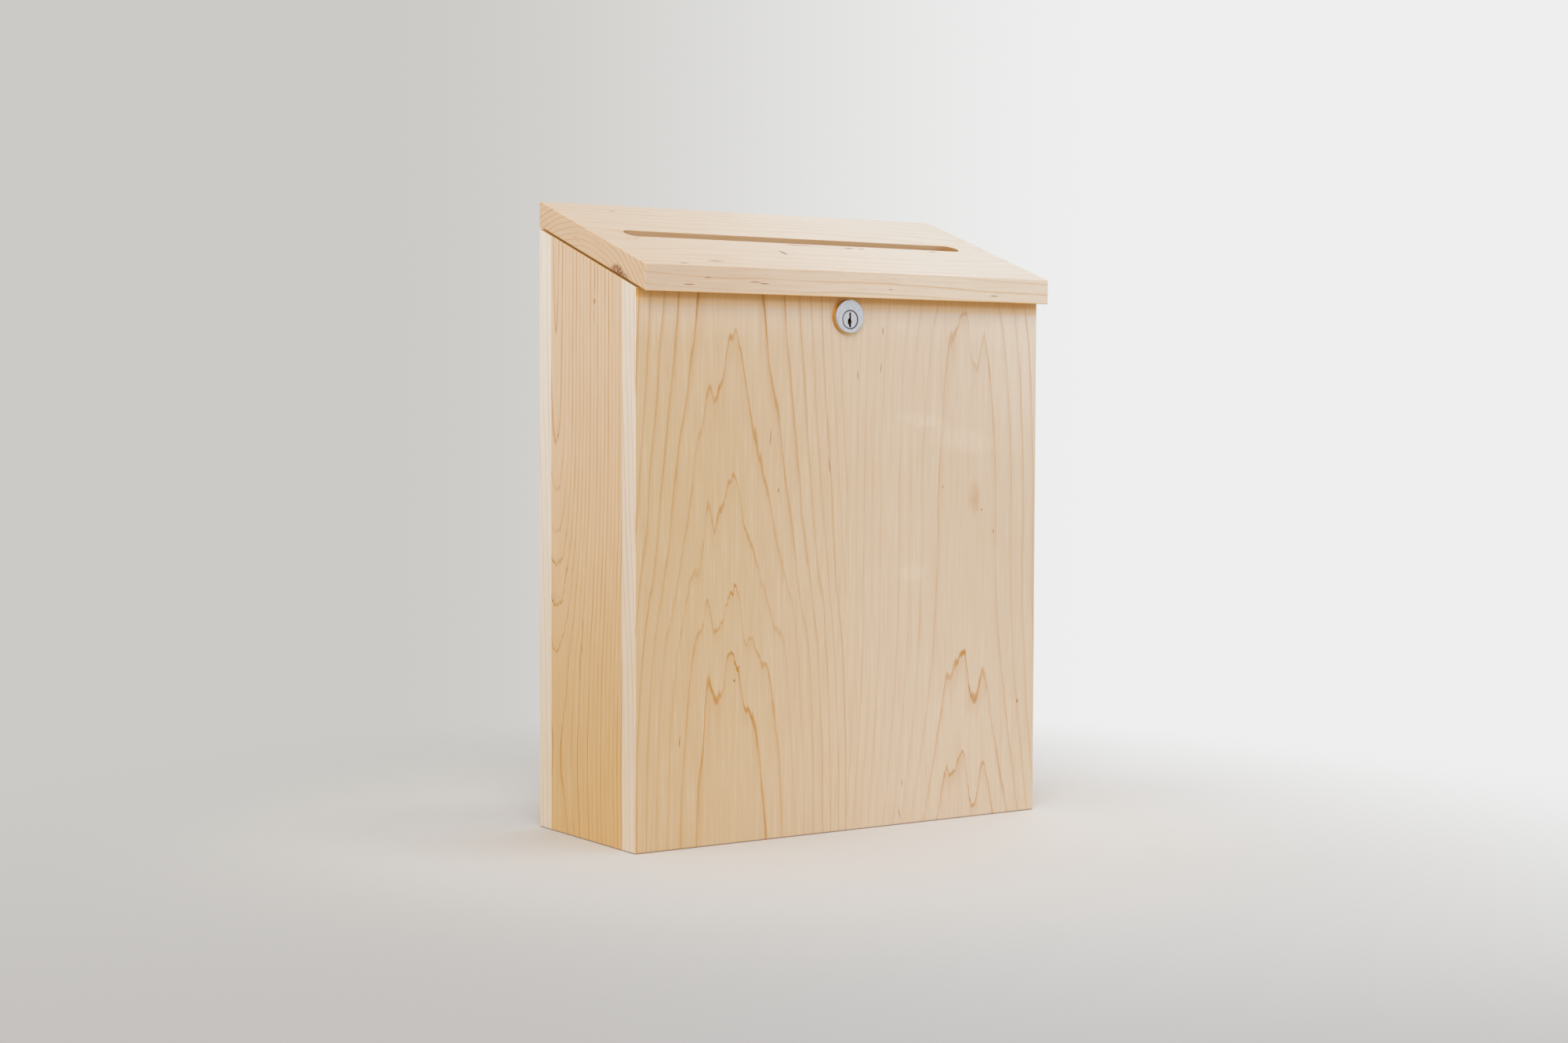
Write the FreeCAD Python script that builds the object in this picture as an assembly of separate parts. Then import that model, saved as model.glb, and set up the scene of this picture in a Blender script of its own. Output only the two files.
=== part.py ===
import FreeCAD, Part
import math
import os

# A wooden drop box with a sloping, slotted lid, two flush hinges and a key lock with a hook cam.
# Lengths are in millimetres and angles in degrees. The origin is on the floor at the middle of the
# whole object's outline, +X is to the right seen from the front, +Y to the back and +Z up.

# Wooden walls
box_width = 381.0
box_depth = 147.0
front_height = 418.5
lid_slope = 19.2
board = 19.0
edge_ease = 0.6

# Floor panel, held in grooves of the four walls
bottom_thickness = 12.0
bottom_raise = 12.0
groove_depth = 6.0
groove_play = 0.2
bottom_edge_play = 0.5

# Glued dowels at the four corners
dowel_diameter = 8.0
dowel_cover = 7.0
dowel_reach = 25.0
dowels_per_corner = 4
dowel_margin = 45.0
dowel_end_play = 0.5
dowel_chamfer = 1.0
glue_fit = 0.05

# Lid and its deposit slot
lid_thickness = 18.5
lid_overhang = 14.2
slot_length = 320.0
slot_width = 16.5
slot_setback = 67.5
slot_ease = 0.5

# Pads that carry the lid's front
bumper_diameter = 8.0
bumper_inset = 30.0
bumper_play = 0.05

# Flush hinges: the lid's leaf folds into a window of the frame's leaf
leaf_thickness = 1.5
leaf_play = 0.1
leaf_inset = 2.0
leaf_bridge = 3.5
leaf_corner = 2.0
nest_play = 0.4
wing_width = 14.0
lid_leaf_width = 35.0
hinge_inset = 80.0
hinge_pin_diameter = 2.6
hinge_pin_fit = 0.05
knuckle_wall = 1.5
knuckle_play = 0.35

# Countersunk wood screws for the hinges and the catch
screw_head_diameter = 5.6
screw_shank_diameter = 2.8
screw_length = 14.0
screw_tip = 3.0
screw_fit = 0.05

# Lock housing, washer and nut
lock_drop = 17.0
plug_drop = 2.55
head_base_diameter = 28.5
head_face_diameter = 25.8
head_flange = 1.0
head_proud = 4.3
head_round = 0.4
barrel_diameter = 22.0
barrel_bore_play = 0.2
barrel_tail = 5.0
washer_thickness = 1.0
washer_diameter = 29.0
washer_teeth = 12
tooth_depth = 1.6
tooth_gap = 2.2
nut_thickness = 5.0
nut_across_flats = 28.0
nut_sides = 6
thread_fit = 0.05

# Plug, keyway and pin stacks
plug_diameter = 14.1
plug_fit = 0.05
plug_recess = 0.2
keyway_width = 1.6
keyway_belly = 1.3
keyway_top = 5.4
keyway_bottom = 6.0
keyway_depth = 21.0
pin_count = 5
pin_start = 3.0
pin_pitch = 3.9
pin_diameter = 2.84
pin_fit = 0.06
pin_tip = 0.8
shear_play = 0.1
key_pin_length = 5.2
key_cut_step = 0.4
key_cuts = (2, 4, 1, 3, 2)
driver_length = 2.6
spring_wire = 0.4
cover_width = 3.6
cover_thickness = 0.7
cover_depth = 0.3
cover_margin = 2.4

# Stop washer, hook cam and its screw on the plug's tail
plug_travel = 90.0
tail_square = 8.0
tail_fit = 0.05
tail_short = 0.1
stop_play = 0.15
stop_thickness = 1.0
stop_diameter = 16.4
stop_tab_reach = 11.5
stop_tab_half_angle = 12.0
stop_lug_width = 28.0
stop_lug_play = 1.0
cam_thickness = 3.0
cam_hub_diameter = 16.0
cam_arm_width = 10.0
finger_inner_radius = 19.0
finger_width = 5.0
finger_sweep = 46.5
cam_screw_diameter = 4.0
cam_screw_length = 10.0
cam_screw_head_diameter = 9.0
cam_screw_head_height = 2.4
cam_screw_head_round = 0.8

# Hooked catch under the lid
catch_thickness = 2.0
catch_side = 8.0
catch_width = 30.0
catch_screw_count = 2
hook_width = 11.0
catch_bend = 1.0
catch_front_play = 2.5
ledge_lip = 0.5
ledge_play = 0.6
web_play = 0.8

# Fixed angles
right_angle = 90.0
half_turn = 180.0
full_turn = 360.0

# Places worked out from the sizes above
slope = math.radians(lid_slope)
lid_gap = leaf_thickness + leaf_play
half_width = box_width / 2
knuckle_radius = hinge_pin_diameter / 2 + hinge_pin_fit + knuckle_wall
knuckle_offset = knuckle_radius + knuckle_play
outline_depth = lid_overhang + box_depth + knuckle_offset + knuckle_radius
y_front = lid_overhang - outline_depth / 2
y_back = y_front + box_depth
bottom_top = bottom_raise + bottom_thickness
plug_z = front_height - lock_drop - plug_drop
barrel_radius = barrel_diameter / 2
barrel_end = board + washer_thickness + nut_thickness + barrel_tail
cam_front = barrel_end + stop_play + stop_thickness
cam_back = cam_front + cam_thickness
finger_outer_radius = finger_inner_radius + finger_width
hinge_width = lid_leaf_width + 2 * (nest_play + wing_width)
leaf_reach = board / math.cos(slope) - leaf_inset
lid_leaf_reach = leaf_reach - leaf_bridge - nest_play

# How far a cutter runs on past the piece that it cuts
past = board


def vec(x, y, z):
    """Return a point or direction."""
    return FreeCAD.Vector(x, y, z)


def rim_z(y):
    """Return the height of the walls' sloping rim at a distance y from the origin."""
    return front_height + (y - y_front) * math.tan(slope)


def along_slope(setback, height):
    """Return how far up the slope a point lies, counted from the back panel's rear rim.

    setback is the level distance from the back panel's face, negative towards the front, and
    height is the distance off the rim's plane.
    """
    return (setback + height * math.sin(slope)) / math.cos(slope)


hinge_axis_v = along_slope(knuckle_offset, lid_gap / 2)
rim_place = FreeCAD.Placement(vec(0, y_back, rim_z(y_back)), FreeCAD.Rotation(vec(1, 0, 0), lid_slope))
lock_place = FreeCAD.Placement(vec(0, y_front, plug_z), FreeCAD.Rotation(vec(1, 0, 0), right_angle))


def on_rim(shape):
    """Put a shape drawn flat (x right, y up the slope, z off the rim) onto the sloping rim."""
    shape.Placement = rim_place.multiply(shape.Placement)
    return shape


def in_lock(shape):
    """Put a shape drawn as seen from the front onto the plug's axis.

    x is right, y is up from the axis and z comes out of the front panel's face.
    """
    shape.Placement = lock_place.multiply(shape.Placement)
    return shape


def block(low, high):
    """Return a box between two corners."""
    size = high.sub(low)
    return Part.makeBox(size.x, size.y, size.z, low)


def slab(points, thickness_along):
    """Return a flat outline pushed along a direction into a solid."""
    outline = Part.makePolygon(points + points[:1])
    return Part.Face(outline).extrude(thickness_along)


def disc(radius, start, end, up=0.0):
    """Return a lock disc between two depths behind the front panel's face."""
    return Part.makeCylinder(radius, end - start, vec(0, up, -end))


def rod_x(radius, left, right, v, height):
    """Return a rod along x for a hinge, drawn flat on the rim."""
    return Part.makeCylinder(radius, right - left, vec(left, v, height), vec(1, 0, 0))


def cut_all(shape, cutters):
    """Return a shape with every cutter taken out of it."""
    for cutter in cutters:
        shape = shape.cut(cutter)
    return shape


def group(shapes):
    """Return separate solids as one group."""
    return Part.makeCompound(shapes)


def ease_edges(shape, radius, wanted):
    """Round the edges whose middle point passes a test."""
    edges = [edge for edge in shape.Edges if wanted(edge)]
    return shape.makeFillet(radius, edges)


def middle(edge):
    """Return the middle point of an edge."""
    return edge.valueAt((edge.FirstParameter + edge.LastParameter) / 2)


# Wooden walls

def eased_block():
    """Return the outline of the four walls as one block with eased edges."""
    corners = [
        vec(-half_width, y_front, 0),
        vec(-half_width, y_back, 0),
        vec(-half_width, y_back, rim_z(y_back)),
        vec(-half_width, y_front, front_height),
    ]
    whole = slab(corners, vec(box_width, 0, 0))
    return whole.makeFillet(edge_ease, whole.Edges)


def wall(left, right, front, back):
    """Return the part of the eased block between four upright planes."""
    upright = block(vec(left, front, -past), vec(right, back, rim_z(y_back) + past))
    return eased_block().common(upright)


def floor_plate(reach, low, high):
    """Return a level plate that reaches into the walls by a given depth."""
    side = half_width - board + reach
    return block(vec(-side, y_front + board - reach, low), vec(side, y_back - board + reach, high))


def floor_groove():
    """Return the space that the floor panel's grooves take out of the walls."""
    return floor_plate(groove_depth, bottom_raise, bottom_top + groove_play)


def bottom_panel():
    """Return the plywood floor panel, which rests in its grooves."""
    return floor_plate(groove_depth - bottom_edge_play, bottom_raise, bottom_top)


def dowel_heights():
    """Return the heights of the dowels, evenly spaced from the floor panel to the front's top."""
    low = bottom_top + dowel_margin
    high = front_height - dowel_margin
    step = (high - low) / (dowels_per_corner - 1)
    return [low + step * index for index in range(dowels_per_corner)]


def dowel_rods(outer_face, inward, radius, shorter):
    """Return one rod for each dowel of the two corners at a wall.

    outer_face is the wall's outer plane and inward is 1 towards the back or -1 towards the front.
    """
    start = dowel_cover + shorter
    length = board - dowel_cover + dowel_reach - 2 * shorter
    rods = []
    for x in (-half_width + board / 2, half_width - board / 2):
        for z in dowel_heights():
            foot = vec(x, outer_face + inward * start, z)
            rods.append(Part.makeCylinder(radius, length, foot, vec(0, inward, 0)))
    return rods


def corner_dowels(outer_face, inward):
    """Return the dowels of two corners, with chamfered ends."""
    rods = dowel_rods(outer_face, inward, dowel_diameter / 2, dowel_end_play)
    return group([rod.makeChamfer(dowel_chamfer, ring_edges(rod)) for rod in rods])


def ring_edges(rod):
    """Return the round edges at the two ends of a rod."""
    return [edge for edge in rod.Edges if edge.isClosed()]


def dowel_holes():
    """Return the drilled holes for all the dowels."""
    radius = dowel_diameter / 2 + glue_fit
    return dowel_rods(y_front, 1, radius, 0.0) + dowel_rods(y_back, -1, radius, 0.0)


def front_panel():
    """Return the front board with its groove, dowel holes and lock bore."""
    panel = wall(-half_width, half_width, y_front, y_front + board)
    bore = in_lock(disc(barrel_radius + barrel_bore_play, -past, 2 * past, plug_drop))
    return cut_all(panel, [floor_groove(), bore] + dowel_holes())


def back_panel():
    """Return the back board with its groove, dowel holes and hinge screw holes."""
    panel = wall(-half_width, half_width, y_back - board, y_back)
    return cut_all(panel, [floor_groove()] + dowel_holes() + frame_leaf_screw_set(screw_fit))


def side_wall(side):
    """Return the left (-1) or right (1) board with its groove and dowel holes."""
    outer = side * half_width
    inner = side * (half_width - board)
    board_between = wall(min(outer, inner), max(outer, inner), y_front + board, y_back - board)
    return cut_all(board_between, [floor_groove()] + dowel_holes())


def lid_bumpers():
    """Return the two pads on the front panel's rim."""
    v = along_slope(-box_depth + board / 2, 0)
    pads = []
    for x in (-half_width + bumper_inset, half_width - bumper_inset):
        pads.append(on_rim(Part.makeCylinder(bumper_diameter / 2, lid_gap - bumper_play, vec(x, v, 0))))
    return group(pads)


# Lid

def lid_blank():
    """Return the lid board, drawn flat on the rim, with plumb-cut front and back edges."""
    reach = -box_depth - lid_overhang
    top = lid_gap + lid_thickness
    corners = [
        vec(-half_width, along_slope(reach, lid_gap), lid_gap),
        vec(-half_width, along_slope(0, lid_gap), lid_gap),
        vec(-half_width, along_slope(0, top), top),
        vec(-half_width, along_slope(reach, top), top),
    ]
    blank = slab(corners, vec(box_width, 0, 0))
    return blank.makeFillet(edge_ease, blank.Edges)


def slot_middle():
    """Return how far up the slope the slot's centre line lies."""
    return along_slope(slot_setback - box_depth, lid_gap + lid_thickness)


def deposit_slot():
    """Return the round-ended slot that is routed square through the lid."""
    radius = slot_width / 2
    straight = slot_length / 2 - radius
    low = lid_gap - past
    height = lid_thickness + 2 * past
    v = slot_middle()
    slot = block(vec(-straight, v - radius, low), vec(straight, v + radius, low + height))
    for x in (-straight, straight):
        slot = slot.fuse(Part.makeCylinder(radius, height, vec(x, v, low)))
    return slot.removeSplitter()


def on_slot_mouth(edge):
    """Tell whether an edge runs round the slot in the lid's top or underside."""
    point = middle(edge)
    level = edge.BoundBox.ZLength < edge_ease
    inside_x = abs(point.x) < slot_length / 2 + edge_ease
    inside_v = abs(point.y - slot_middle()) < slot_width / 2 + edge_ease
    return level and inside_x and inside_v


def lid_panel():
    """Return the lid with its slot and the screw holes of hinges and catch."""
    lid = lid_blank().cut(deposit_slot())
    lid = on_rim(ease_edges(lid, slot_ease, on_slot_mouth))
    return cut_all(lid, lid_leaf_screw_set(screw_fit) + catch_screw_set(screw_fit))


# Screws

def wood_screw(extra):
    """Return a countersunk screw that points down from its head at the origin.

    extra is added to every radius, so that the same form drills the hole for it.
    """
    head = screw_head_diameter / 2
    shank = screw_shank_diameter / 2
    neck = head - shank
    points = [
        vec(0, 0, 0),
        vec(head + extra, 0, 0),
        vec(shank + extra, 0, -neck),
        vec(shank + extra, 0, screw_tip - screw_length),
        vec(0, 0, -screw_length - extra),
    ]
    half = Part.Face(Part.makePolygon(points + points[:1]))
    return half.revolve(vec(0, 0, 0), vec(0, 0, 1), full_turn)


def screw_at(x, v, height, upward, extra):
    """Return a screw on the rim's plane, its head at a height and its point down or upward."""
    screw = wood_screw(extra)
    turn = half_turn if upward else 0.0
    screw.Placement = FreeCAD.Placement(vec(x, v, height), FreeCAD.Rotation(vec(1, 0, 0), turn))
    return on_rim(screw)


def hinge_middles():
    """Return the places of the two hinges along x."""
    return (-half_width + hinge_inset, half_width - hinge_inset)


def frame_leaf_screw_set(extra):
    """Return the screws, or their holes, of the leaves on the back panel."""
    spread = lid_leaf_width / 2 + nest_play + wing_width / 2
    screws = []
    for x in hinge_middles():
        for side in (-spread, spread):
            screws.append(screw_at(x + side, -leaf_reach / 2, leaf_thickness, False, extra))
    return screws


def lid_leaf_screw_set(extra):
    """Return the screws, or their holes, of the leaves on the lid."""
    half = lid_leaf_width / 2
    screws = []
    for x in hinge_middles():
        for side in (-half / 2, half / 2):
            screws.append(screw_at(x + side, -lid_leaf_reach / 2, leaf_play, True, extra))
    return screws


# Hinges

def hinge_bore(x):
    """Return the hole for a hinge pin, longer than the whole hinge."""
    radius = hinge_pin_diameter / 2 + hinge_pin_fit
    return rod_x(radius, x - hinge_width, x + hinge_width, hinge_axis_v, lid_gap / 2)


def knuckle(left, right):
    """Return the outside of one hinge knuckle."""
    return rod_x(knuckle_radius, left, right, hinge_axis_v, lid_gap / 2)


def at_front_corner(edge):
    """Tell whether an edge stands upright at a leaf's front end, before the leaf is placed."""
    upright = edge.BoundBox.ZLength > leaf_thickness / 2
    return upright and middle(edge).y < -lid_leaf_reach / 2


def leaf_plate(left, right, reach, low):
    """Return a leaf's plate with two rounded front corners."""
    plate = block(vec(left, -reach, low), vec(right, hinge_axis_v, low + leaf_thickness))
    return ease_edges(plate, leaf_corner, at_front_corner)


def frame_leaf(x):
    """Return the outer leaf of the hinge at x, which sits on the back panel's rim."""
    outer = hinge_width / 2
    inner = outer - wing_width
    plate = leaf_plate(x - outer, x + outer, leaf_reach, 0)
    window_back = hinge_axis_v + knuckle_radius
    window_front = -lid_leaf_reach - nest_play
    window = block(vec(x - inner, window_front, -past), vec(x + inner, window_back, past))
    leaf = plate.cut(window)
    leaf = leaf.fuse([knuckle(x - outer, x - inner), knuckle(x + inner, x + outer)])
    leaf = on_rim(leaf.cut(hinge_bore(x)).removeSplitter())
    return cut_all(leaf, frame_leaf_screw_set(screw_fit))


def lid_leaf(x):
    """Return the inner leaf of the hinge at x, which is screwed to the lid's underside."""
    half = lid_leaf_width / 2
    plate = leaf_plate(x - half, x + half, lid_leaf_reach, leaf_play)
    leaf = plate.fuse(knuckle(x - half, x + half))
    leaf = on_rim(leaf.cut(hinge_bore(x)).removeSplitter())
    return cut_all(leaf, lid_leaf_screw_set(screw_fit))


def hinge_pin(x):
    """Return the pin through all the knuckles of the hinge at x."""
    outer = hinge_width / 2
    return on_rim(rod_x(hinge_pin_diameter / 2, x - outer, x + outer, hinge_axis_v, lid_gap / 2))


# Lock housing

def lock_head():
    """Return the tapered head in front of the panel, with a thin flange and a rounded rim."""
    base = head_base_diameter / 2
    face = head_face_diameter / 2
    flange = disc(base, -head_flange, 0, plug_drop)
    taper = head_proud - head_flange
    cone = Part.makeCone((base + face) / 2, face, taper, vec(0, plug_drop, head_flange))
    rim = [edge for edge in ring_edges(cone) if middle(edge).z > head_proud - head_round]
    return flange.fuse(cone.makeFillet(head_round, rim))


def pin_depths():
    """Return how far each pin stack stands behind the front panel's face."""
    return [pin_start + pin_pitch * index for index in range(pin_count)]


def upright_pin(radius, depth, low, high):
    """Return an upright round pin between two heights above the plug's axis."""
    return Part.makeCylinder(radius, high - low, vec(0, low, -depth), vec(0, 1, 0))


def cover_block(width, extra):
    """Return the strip that closes the pin chambers, with extra room at its ends."""
    top = plug_drop + barrel_radius - cover_depth
    front = pin_depths()[0] - cover_margin - extra
    back = pin_depths()[-1] + cover_margin + extra
    half = width / 2
    return block(vec(-half, top - cover_thickness, -back), vec(half, top, -front))


def cover_slot():
    """Return the slot along the barrel's top that the cover strip lies in."""
    slot = cover_block(cover_width + 2 * glue_fit, glue_fit)
    above = slot.copy()
    above.translate(vec(0, cover_thickness, 0))
    return slot.fuse(above)


def pin_chambers(low, high):
    """Return the drilled chambers of all the pins between two heights."""
    radius = pin_diameter / 2 + pin_fit
    return [upright_pin(radius, depth, low, high) for depth in pin_depths()]


def ring_sector(inner, outer, start, sweep, front, back):
    """Return a piece of a flat ring about the plug's axis, from a start angle over a sweep."""
    height = back - front
    low = vec(0, 0, -back)
    whole = Part.makeCylinder(outer, height, low, vec(0, 0, 1), sweep)
    part = whole.cut(Part.makeCylinder(inner, height, low))
    part.rotate(vec(0, 0, 0), vec(0, 0, 1), start)
    return part


def stop_lugs():
    """Return the two lugs behind the barrel that stop the washer's tab at the ends of its travel."""
    half_travel = plug_travel / 2 + stop_tab_half_angle + stop_lug_play
    inner = stop_diameter / 2 + stop_lug_play
    lugs = []
    for start in (right_angle + half_travel, right_angle - half_travel - stop_lug_width):
        lug = ring_sector(inner, barrel_diameter, start, stop_lug_width, barrel_end, cam_front - stop_play)
        lugs.append(lug.common(disc(barrel_radius, barrel_end, cam_front, plug_drop)))
    return lugs


def lock_housing():
    """Return the lock's head and barrel with its plug bore, pin chambers and stop lugs."""
    housing = lock_head().fuse([disc(barrel_radius, 0, barrel_end, plug_drop)] + stop_lugs())
    bore = disc(plug_diameter / 2 + plug_fit, -2 * head_proud, barrel_end + past)
    chambers = pin_chambers(0, plug_drop + barrel_radius)
    housing = cut_all(housing, [bore, cover_slot()] + chambers)
    return in_lock(housing.removeSplitter())


def lock_washer():
    """Return the toothed washer between the front panel and the nut."""
    outer = washer_diameter / 2
    start = board
    end = board + washer_thickness
    washer = disc(outer, start, end, plug_drop)
    washer = washer.cut(disc(barrel_radius + barrel_bore_play, start, end, plug_drop))
    gap = block(vec(outer - tooth_depth, -tooth_gap / 2, -end), vec(outer + past, tooth_gap / 2, -start))
    for index in range(washer_teeth):
        cutter = gap.copy()
        cutter.rotate(vec(0, 0, 0), vec(0, 0, 1), full_turn * index / washer_teeth)
        cutter.translate(vec(0, plug_drop, 0))
        washer = washer.cut(cutter)
    return in_lock(washer)


def lock_nut():
    """Return the hexagon nut behind the washer, with chamfered corners."""
    start = board + washer_thickness
    end = start + nut_thickness
    flats = nut_across_flats / 2
    corner = flats / math.cos(math.pi / nut_sides)
    points = []
    for index in range(nut_sides):
        angle = 2 * math.pi * index / nut_sides
        points.append(vec(corner * math.cos(angle), corner * math.sin(angle) + plug_drop, -end))
    nut = slab(points, vec(0, 0, nut_thickness))
    cone = Part.makeCone(flats, flats + nut_thickness, nut_thickness, vec(0, plug_drop, -end))
    nut = nut.common(cone)
    return in_lock(nut.cut(disc(barrel_radius + thread_fit, start, end, plug_drop)))


# Lock core

def keyway():
    """Return the warded key slot from the plug's face to behind the last pin."""
    half = keyway_width / 2
    wide = half + keyway_belly
    belly_foot = -keyway_bottom / 2
    ward_tip = -keyway_bottom / 3
    outline = [
        vec(-half, keyway_top, 0),
        vec(-half, keyway_belly, 0),
        vec(-wide, 0, 0),
        vec(-wide, belly_foot, 0),
        vec(-half, keyway_belly - keyway_bottom, 0),
        vec(-half, -keyway_bottom, 0),
        vec(half, -keyway_bottom, 0),
        vec(half, belly_foot, 0),
        vec(half + keyway_belly / 2, ward_tip, 0),
        vec(half, 0, 0),
        vec(half, keyway_top, 0),
    ]
    slot = slab(outline, vec(0, 0, keyway_depth + 2 * head_proud))
    slot.translate(vec(0, 0, -keyway_depth))
    return slot


def shear_line():
    """Return the height of the key pins' tops, just inside the plug's round wall."""
    radius = plug_diameter / 2
    half = pin_diameter / 2
    return math.sqrt(radius ** 2 - half ** 2) - shear_play


def tail_block(size, start, end):
    """Return the square tail of the plug, or the square hole for it."""
    half = size / 2
    return block(vec(-half, -half, -end), vec(half, half, -start))


def lock_plug():
    """Return the turning plug with its keyway, pin chambers, square tail and tapped hole."""
    radius = plug_diameter / 2
    plug = disc(radius, plug_recess - head_proud, barrel_end)
    plug = plug.fuse(tail_block(tail_square, barrel_end, cam_back - tail_short))
    tapped = disc(cam_screw_diameter / 2 + thread_fit, cam_back - cam_screw_length, cam_back)
    plug = cut_all(plug, [keyway(), tapped] + pin_chambers(-keyway_belly, radius))
    return in_lock(plug.removeSplitter())


def key_pins():
    """Return the lower pins, each as long as its key cut asks, with a cone at its lower end."""
    top = shear_line()
    radius = pin_diameter / 2
    pins = []
    for depth, cut in zip(pin_depths(), key_cuts):
        foot = top - key_pin_length - key_cut_step * cut
        body = upright_pin(radius, depth, foot + pin_tip, top)
        tip = Part.makeCone(radius - pin_tip, radius, pin_tip, vec(0, foot, -depth), vec(0, 1, 0))
        pins.append(in_lock(body.fuse(tip).removeSplitter()))
    return group(pins)


def driver_foot():
    """Return the height of the driver pins' lower ends, just outside the plug."""
    return plug_diameter / 2 + plug_fit


def driver_pins():
    """Return the upper pins, at rest on the shear line."""
    foot = driver_foot()
    radius = pin_diameter / 2
    pins = [upright_pin(radius, depth, foot, foot + driver_length) for depth in pin_depths()]
    return group([in_lock(pin) for pin in pins])


def pin_springs():
    """Return each small spring as a sleeve between its driver pin and the cover."""
    low = driver_foot() + driver_length
    high = plug_drop + barrel_radius - cover_depth - cover_thickness
    outer = pin_diameter / 2
    springs = []
    for depth in pin_depths():
        sleeve = upright_pin(outer, depth, low, high)
        springs.append(in_lock(sleeve.cut(upright_pin(outer - spring_wire, depth, low, high))))
    return group(springs)


def chamber_cover():
    """Return the strip that closes the pin chambers."""
    return in_lock(cover_block(cover_width, 0.0))


def square_hole(front, back):
    """Return the hole that fits over the plug's square tail."""
    return tail_block(tail_square + 2 * tail_fit, front, back)


def stop_washer():
    """Return the washer whose tab meets the stop lugs."""
    front = barrel_end + stop_play
    washer = disc(stop_diameter / 2, front, cam_front)
    start = right_angle + plug_travel / 2 - stop_tab_half_angle
    tab = ring_sector(tail_square / 2, stop_tab_reach, start, 2 * stop_tab_half_angle, front, cam_front)
    washer = washer.fuse(tab).cut(square_hole(front, cam_front))
    return in_lock(washer.removeSplitter())


def lock_cam():
    """Return the hook cam: a hub, an arm to the left and a curved finger that points up."""
    hub = disc(cam_hub_diameter / 2, cam_front, cam_back)
    half = cam_arm_width / 2
    arm = block(vec(-finger_outer_radius, -half, -cam_back), vec(0, half, -cam_front))
    arm = arm.common(disc(finger_outer_radius, cam_front, cam_back))
    start = half_turn - finger_sweep
    finger = ring_sector(finger_inner_radius, finger_outer_radius, start, finger_sweep, cam_front, cam_back)
    cam = hub.fuse([arm, finger]).cut(square_hole(cam_front, cam_back))
    return in_lock(cam.removeSplitter())


def cam_screw():
    """Return the screw that clamps the cam onto the plug's tail."""
    head = disc(cam_screw_head_diameter / 2, cam_back, cam_back + cam_screw_head_height)
    behind = -cam_back - cam_screw_head_height / 2
    rim = [edge for edge in ring_edges(head) if middle(edge).z < behind]
    head = head.makeFillet(cam_screw_head_round, rim)
    shank = disc(cam_screw_diameter / 2, cam_back - cam_screw_length + thread_fit, cam_back)
    return in_lock(head.fuse(shank).removeSplitter())


# Lid catch

def lid_under(depth):
    """Return the height of the lid's underside at a depth behind the front panel's face."""
    return rim_z(y_front + depth) + lid_gap / math.cos(slope)


def catch_web():
    """Return the depths of the web's front and back faces, just behind the cam."""
    front = cam_back + web_play
    return front, front + catch_thickness


def catch_front():
    """Return the depth of the flange's front end, behind the front panel."""
    return board + catch_front_play


def profile(points, left, width):
    """Return an outline of depths and heights pushed along x."""
    corners = [vec(left, y_front + depth, z) for depth, z in points]
    return slab(corners, vec(width, 0, 0))


def flange_end():
    """Return the two corners of the flange's front end, square to the lid."""
    front = catch_front()
    top = lid_under(front)
    back = front + catch_thickness * math.sin(slope)
    under = top - catch_thickness * math.cos(slope)
    return (front, top), (back, under)


def ledge_top():
    """Return the height of the ledge's top, under the tip of the cam's finger when it is locked."""
    tip_angle = math.radians(half_turn - plug_travel - finger_sweep)
    return plug_z + finger_inner_radius * math.sin(tip_angle) - ledge_play


def flange_under(depth):
    """Return the height of the flange's underside at a depth."""
    return lid_under(depth) - catch_thickness / math.cos(slope)


def hook_strip():
    """Return the bent strip of flange, web and ledge, with rounded bends."""
    web_front, web_back = catch_web()
    upper, lower = flange_end()
    high = ledge_top()
    low = high - catch_thickness
    lip = cam_front - ledge_lip
    inner_bends = [(web_front, flange_under(web_front)), (web_front, high)]
    outer_bends = [(web_back, lid_under(web_back)), (web_back, low)]
    outline = [upper] + outer_bends + [(lip, low), (lip, high)] + inner_bends[::-1] + [lower]
    strip = profile(outline, catch_side, hook_width)
    strip = ease_edges(strip, catch_bend, bend_test(inner_bends))
    return ease_edges(strip, catch_bend + catch_thickness, bend_test(outer_bends))


def bend_test(corners):
    """Return a test for the edges along x that run through one of some corners."""
    def wanted(edge):
        point = middle(edge)
        near = [abs(point.y - y_front - depth) + abs(point.z - z) for depth, z in corners]
        return edge.BoundBox.XLength > hook_width / 2 and min(near) < catch_bend / 2
    return wanted


def lid_catch():
    """Return the catch: a flange on the lid's underside and a hook below it."""
    web_front = catch_web()[0]
    upper, lower = flange_end()
    back = web_front - catch_bend
    outline = [upper, (back, lid_under(back)), (back, flange_under(back)), lower]
    plate = profile(outline, catch_side, catch_width)
    catch = plate.fuse(hook_strip()).removeSplitter()
    return cut_all(catch, catch_screw_set(screw_fit))


def catch_screw_set(extra):
    """Return the screws, or their holes, of the catch's flange, beside its hook."""
    pitch = (catch_width - hook_width) / catch_screw_count
    first = catch_side + hook_width + pitch / 2
    middle_depth = (catch_front() + catch_web()[0]) / 2
    v = along_slope(middle_depth - box_depth, lid_gap)
    screws = []
    for index in range(catch_screw_count):
        screws.append(screw_at(first + pitch * index, v, lid_gap - catch_thickness, True, extra))
    return screws


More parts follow.
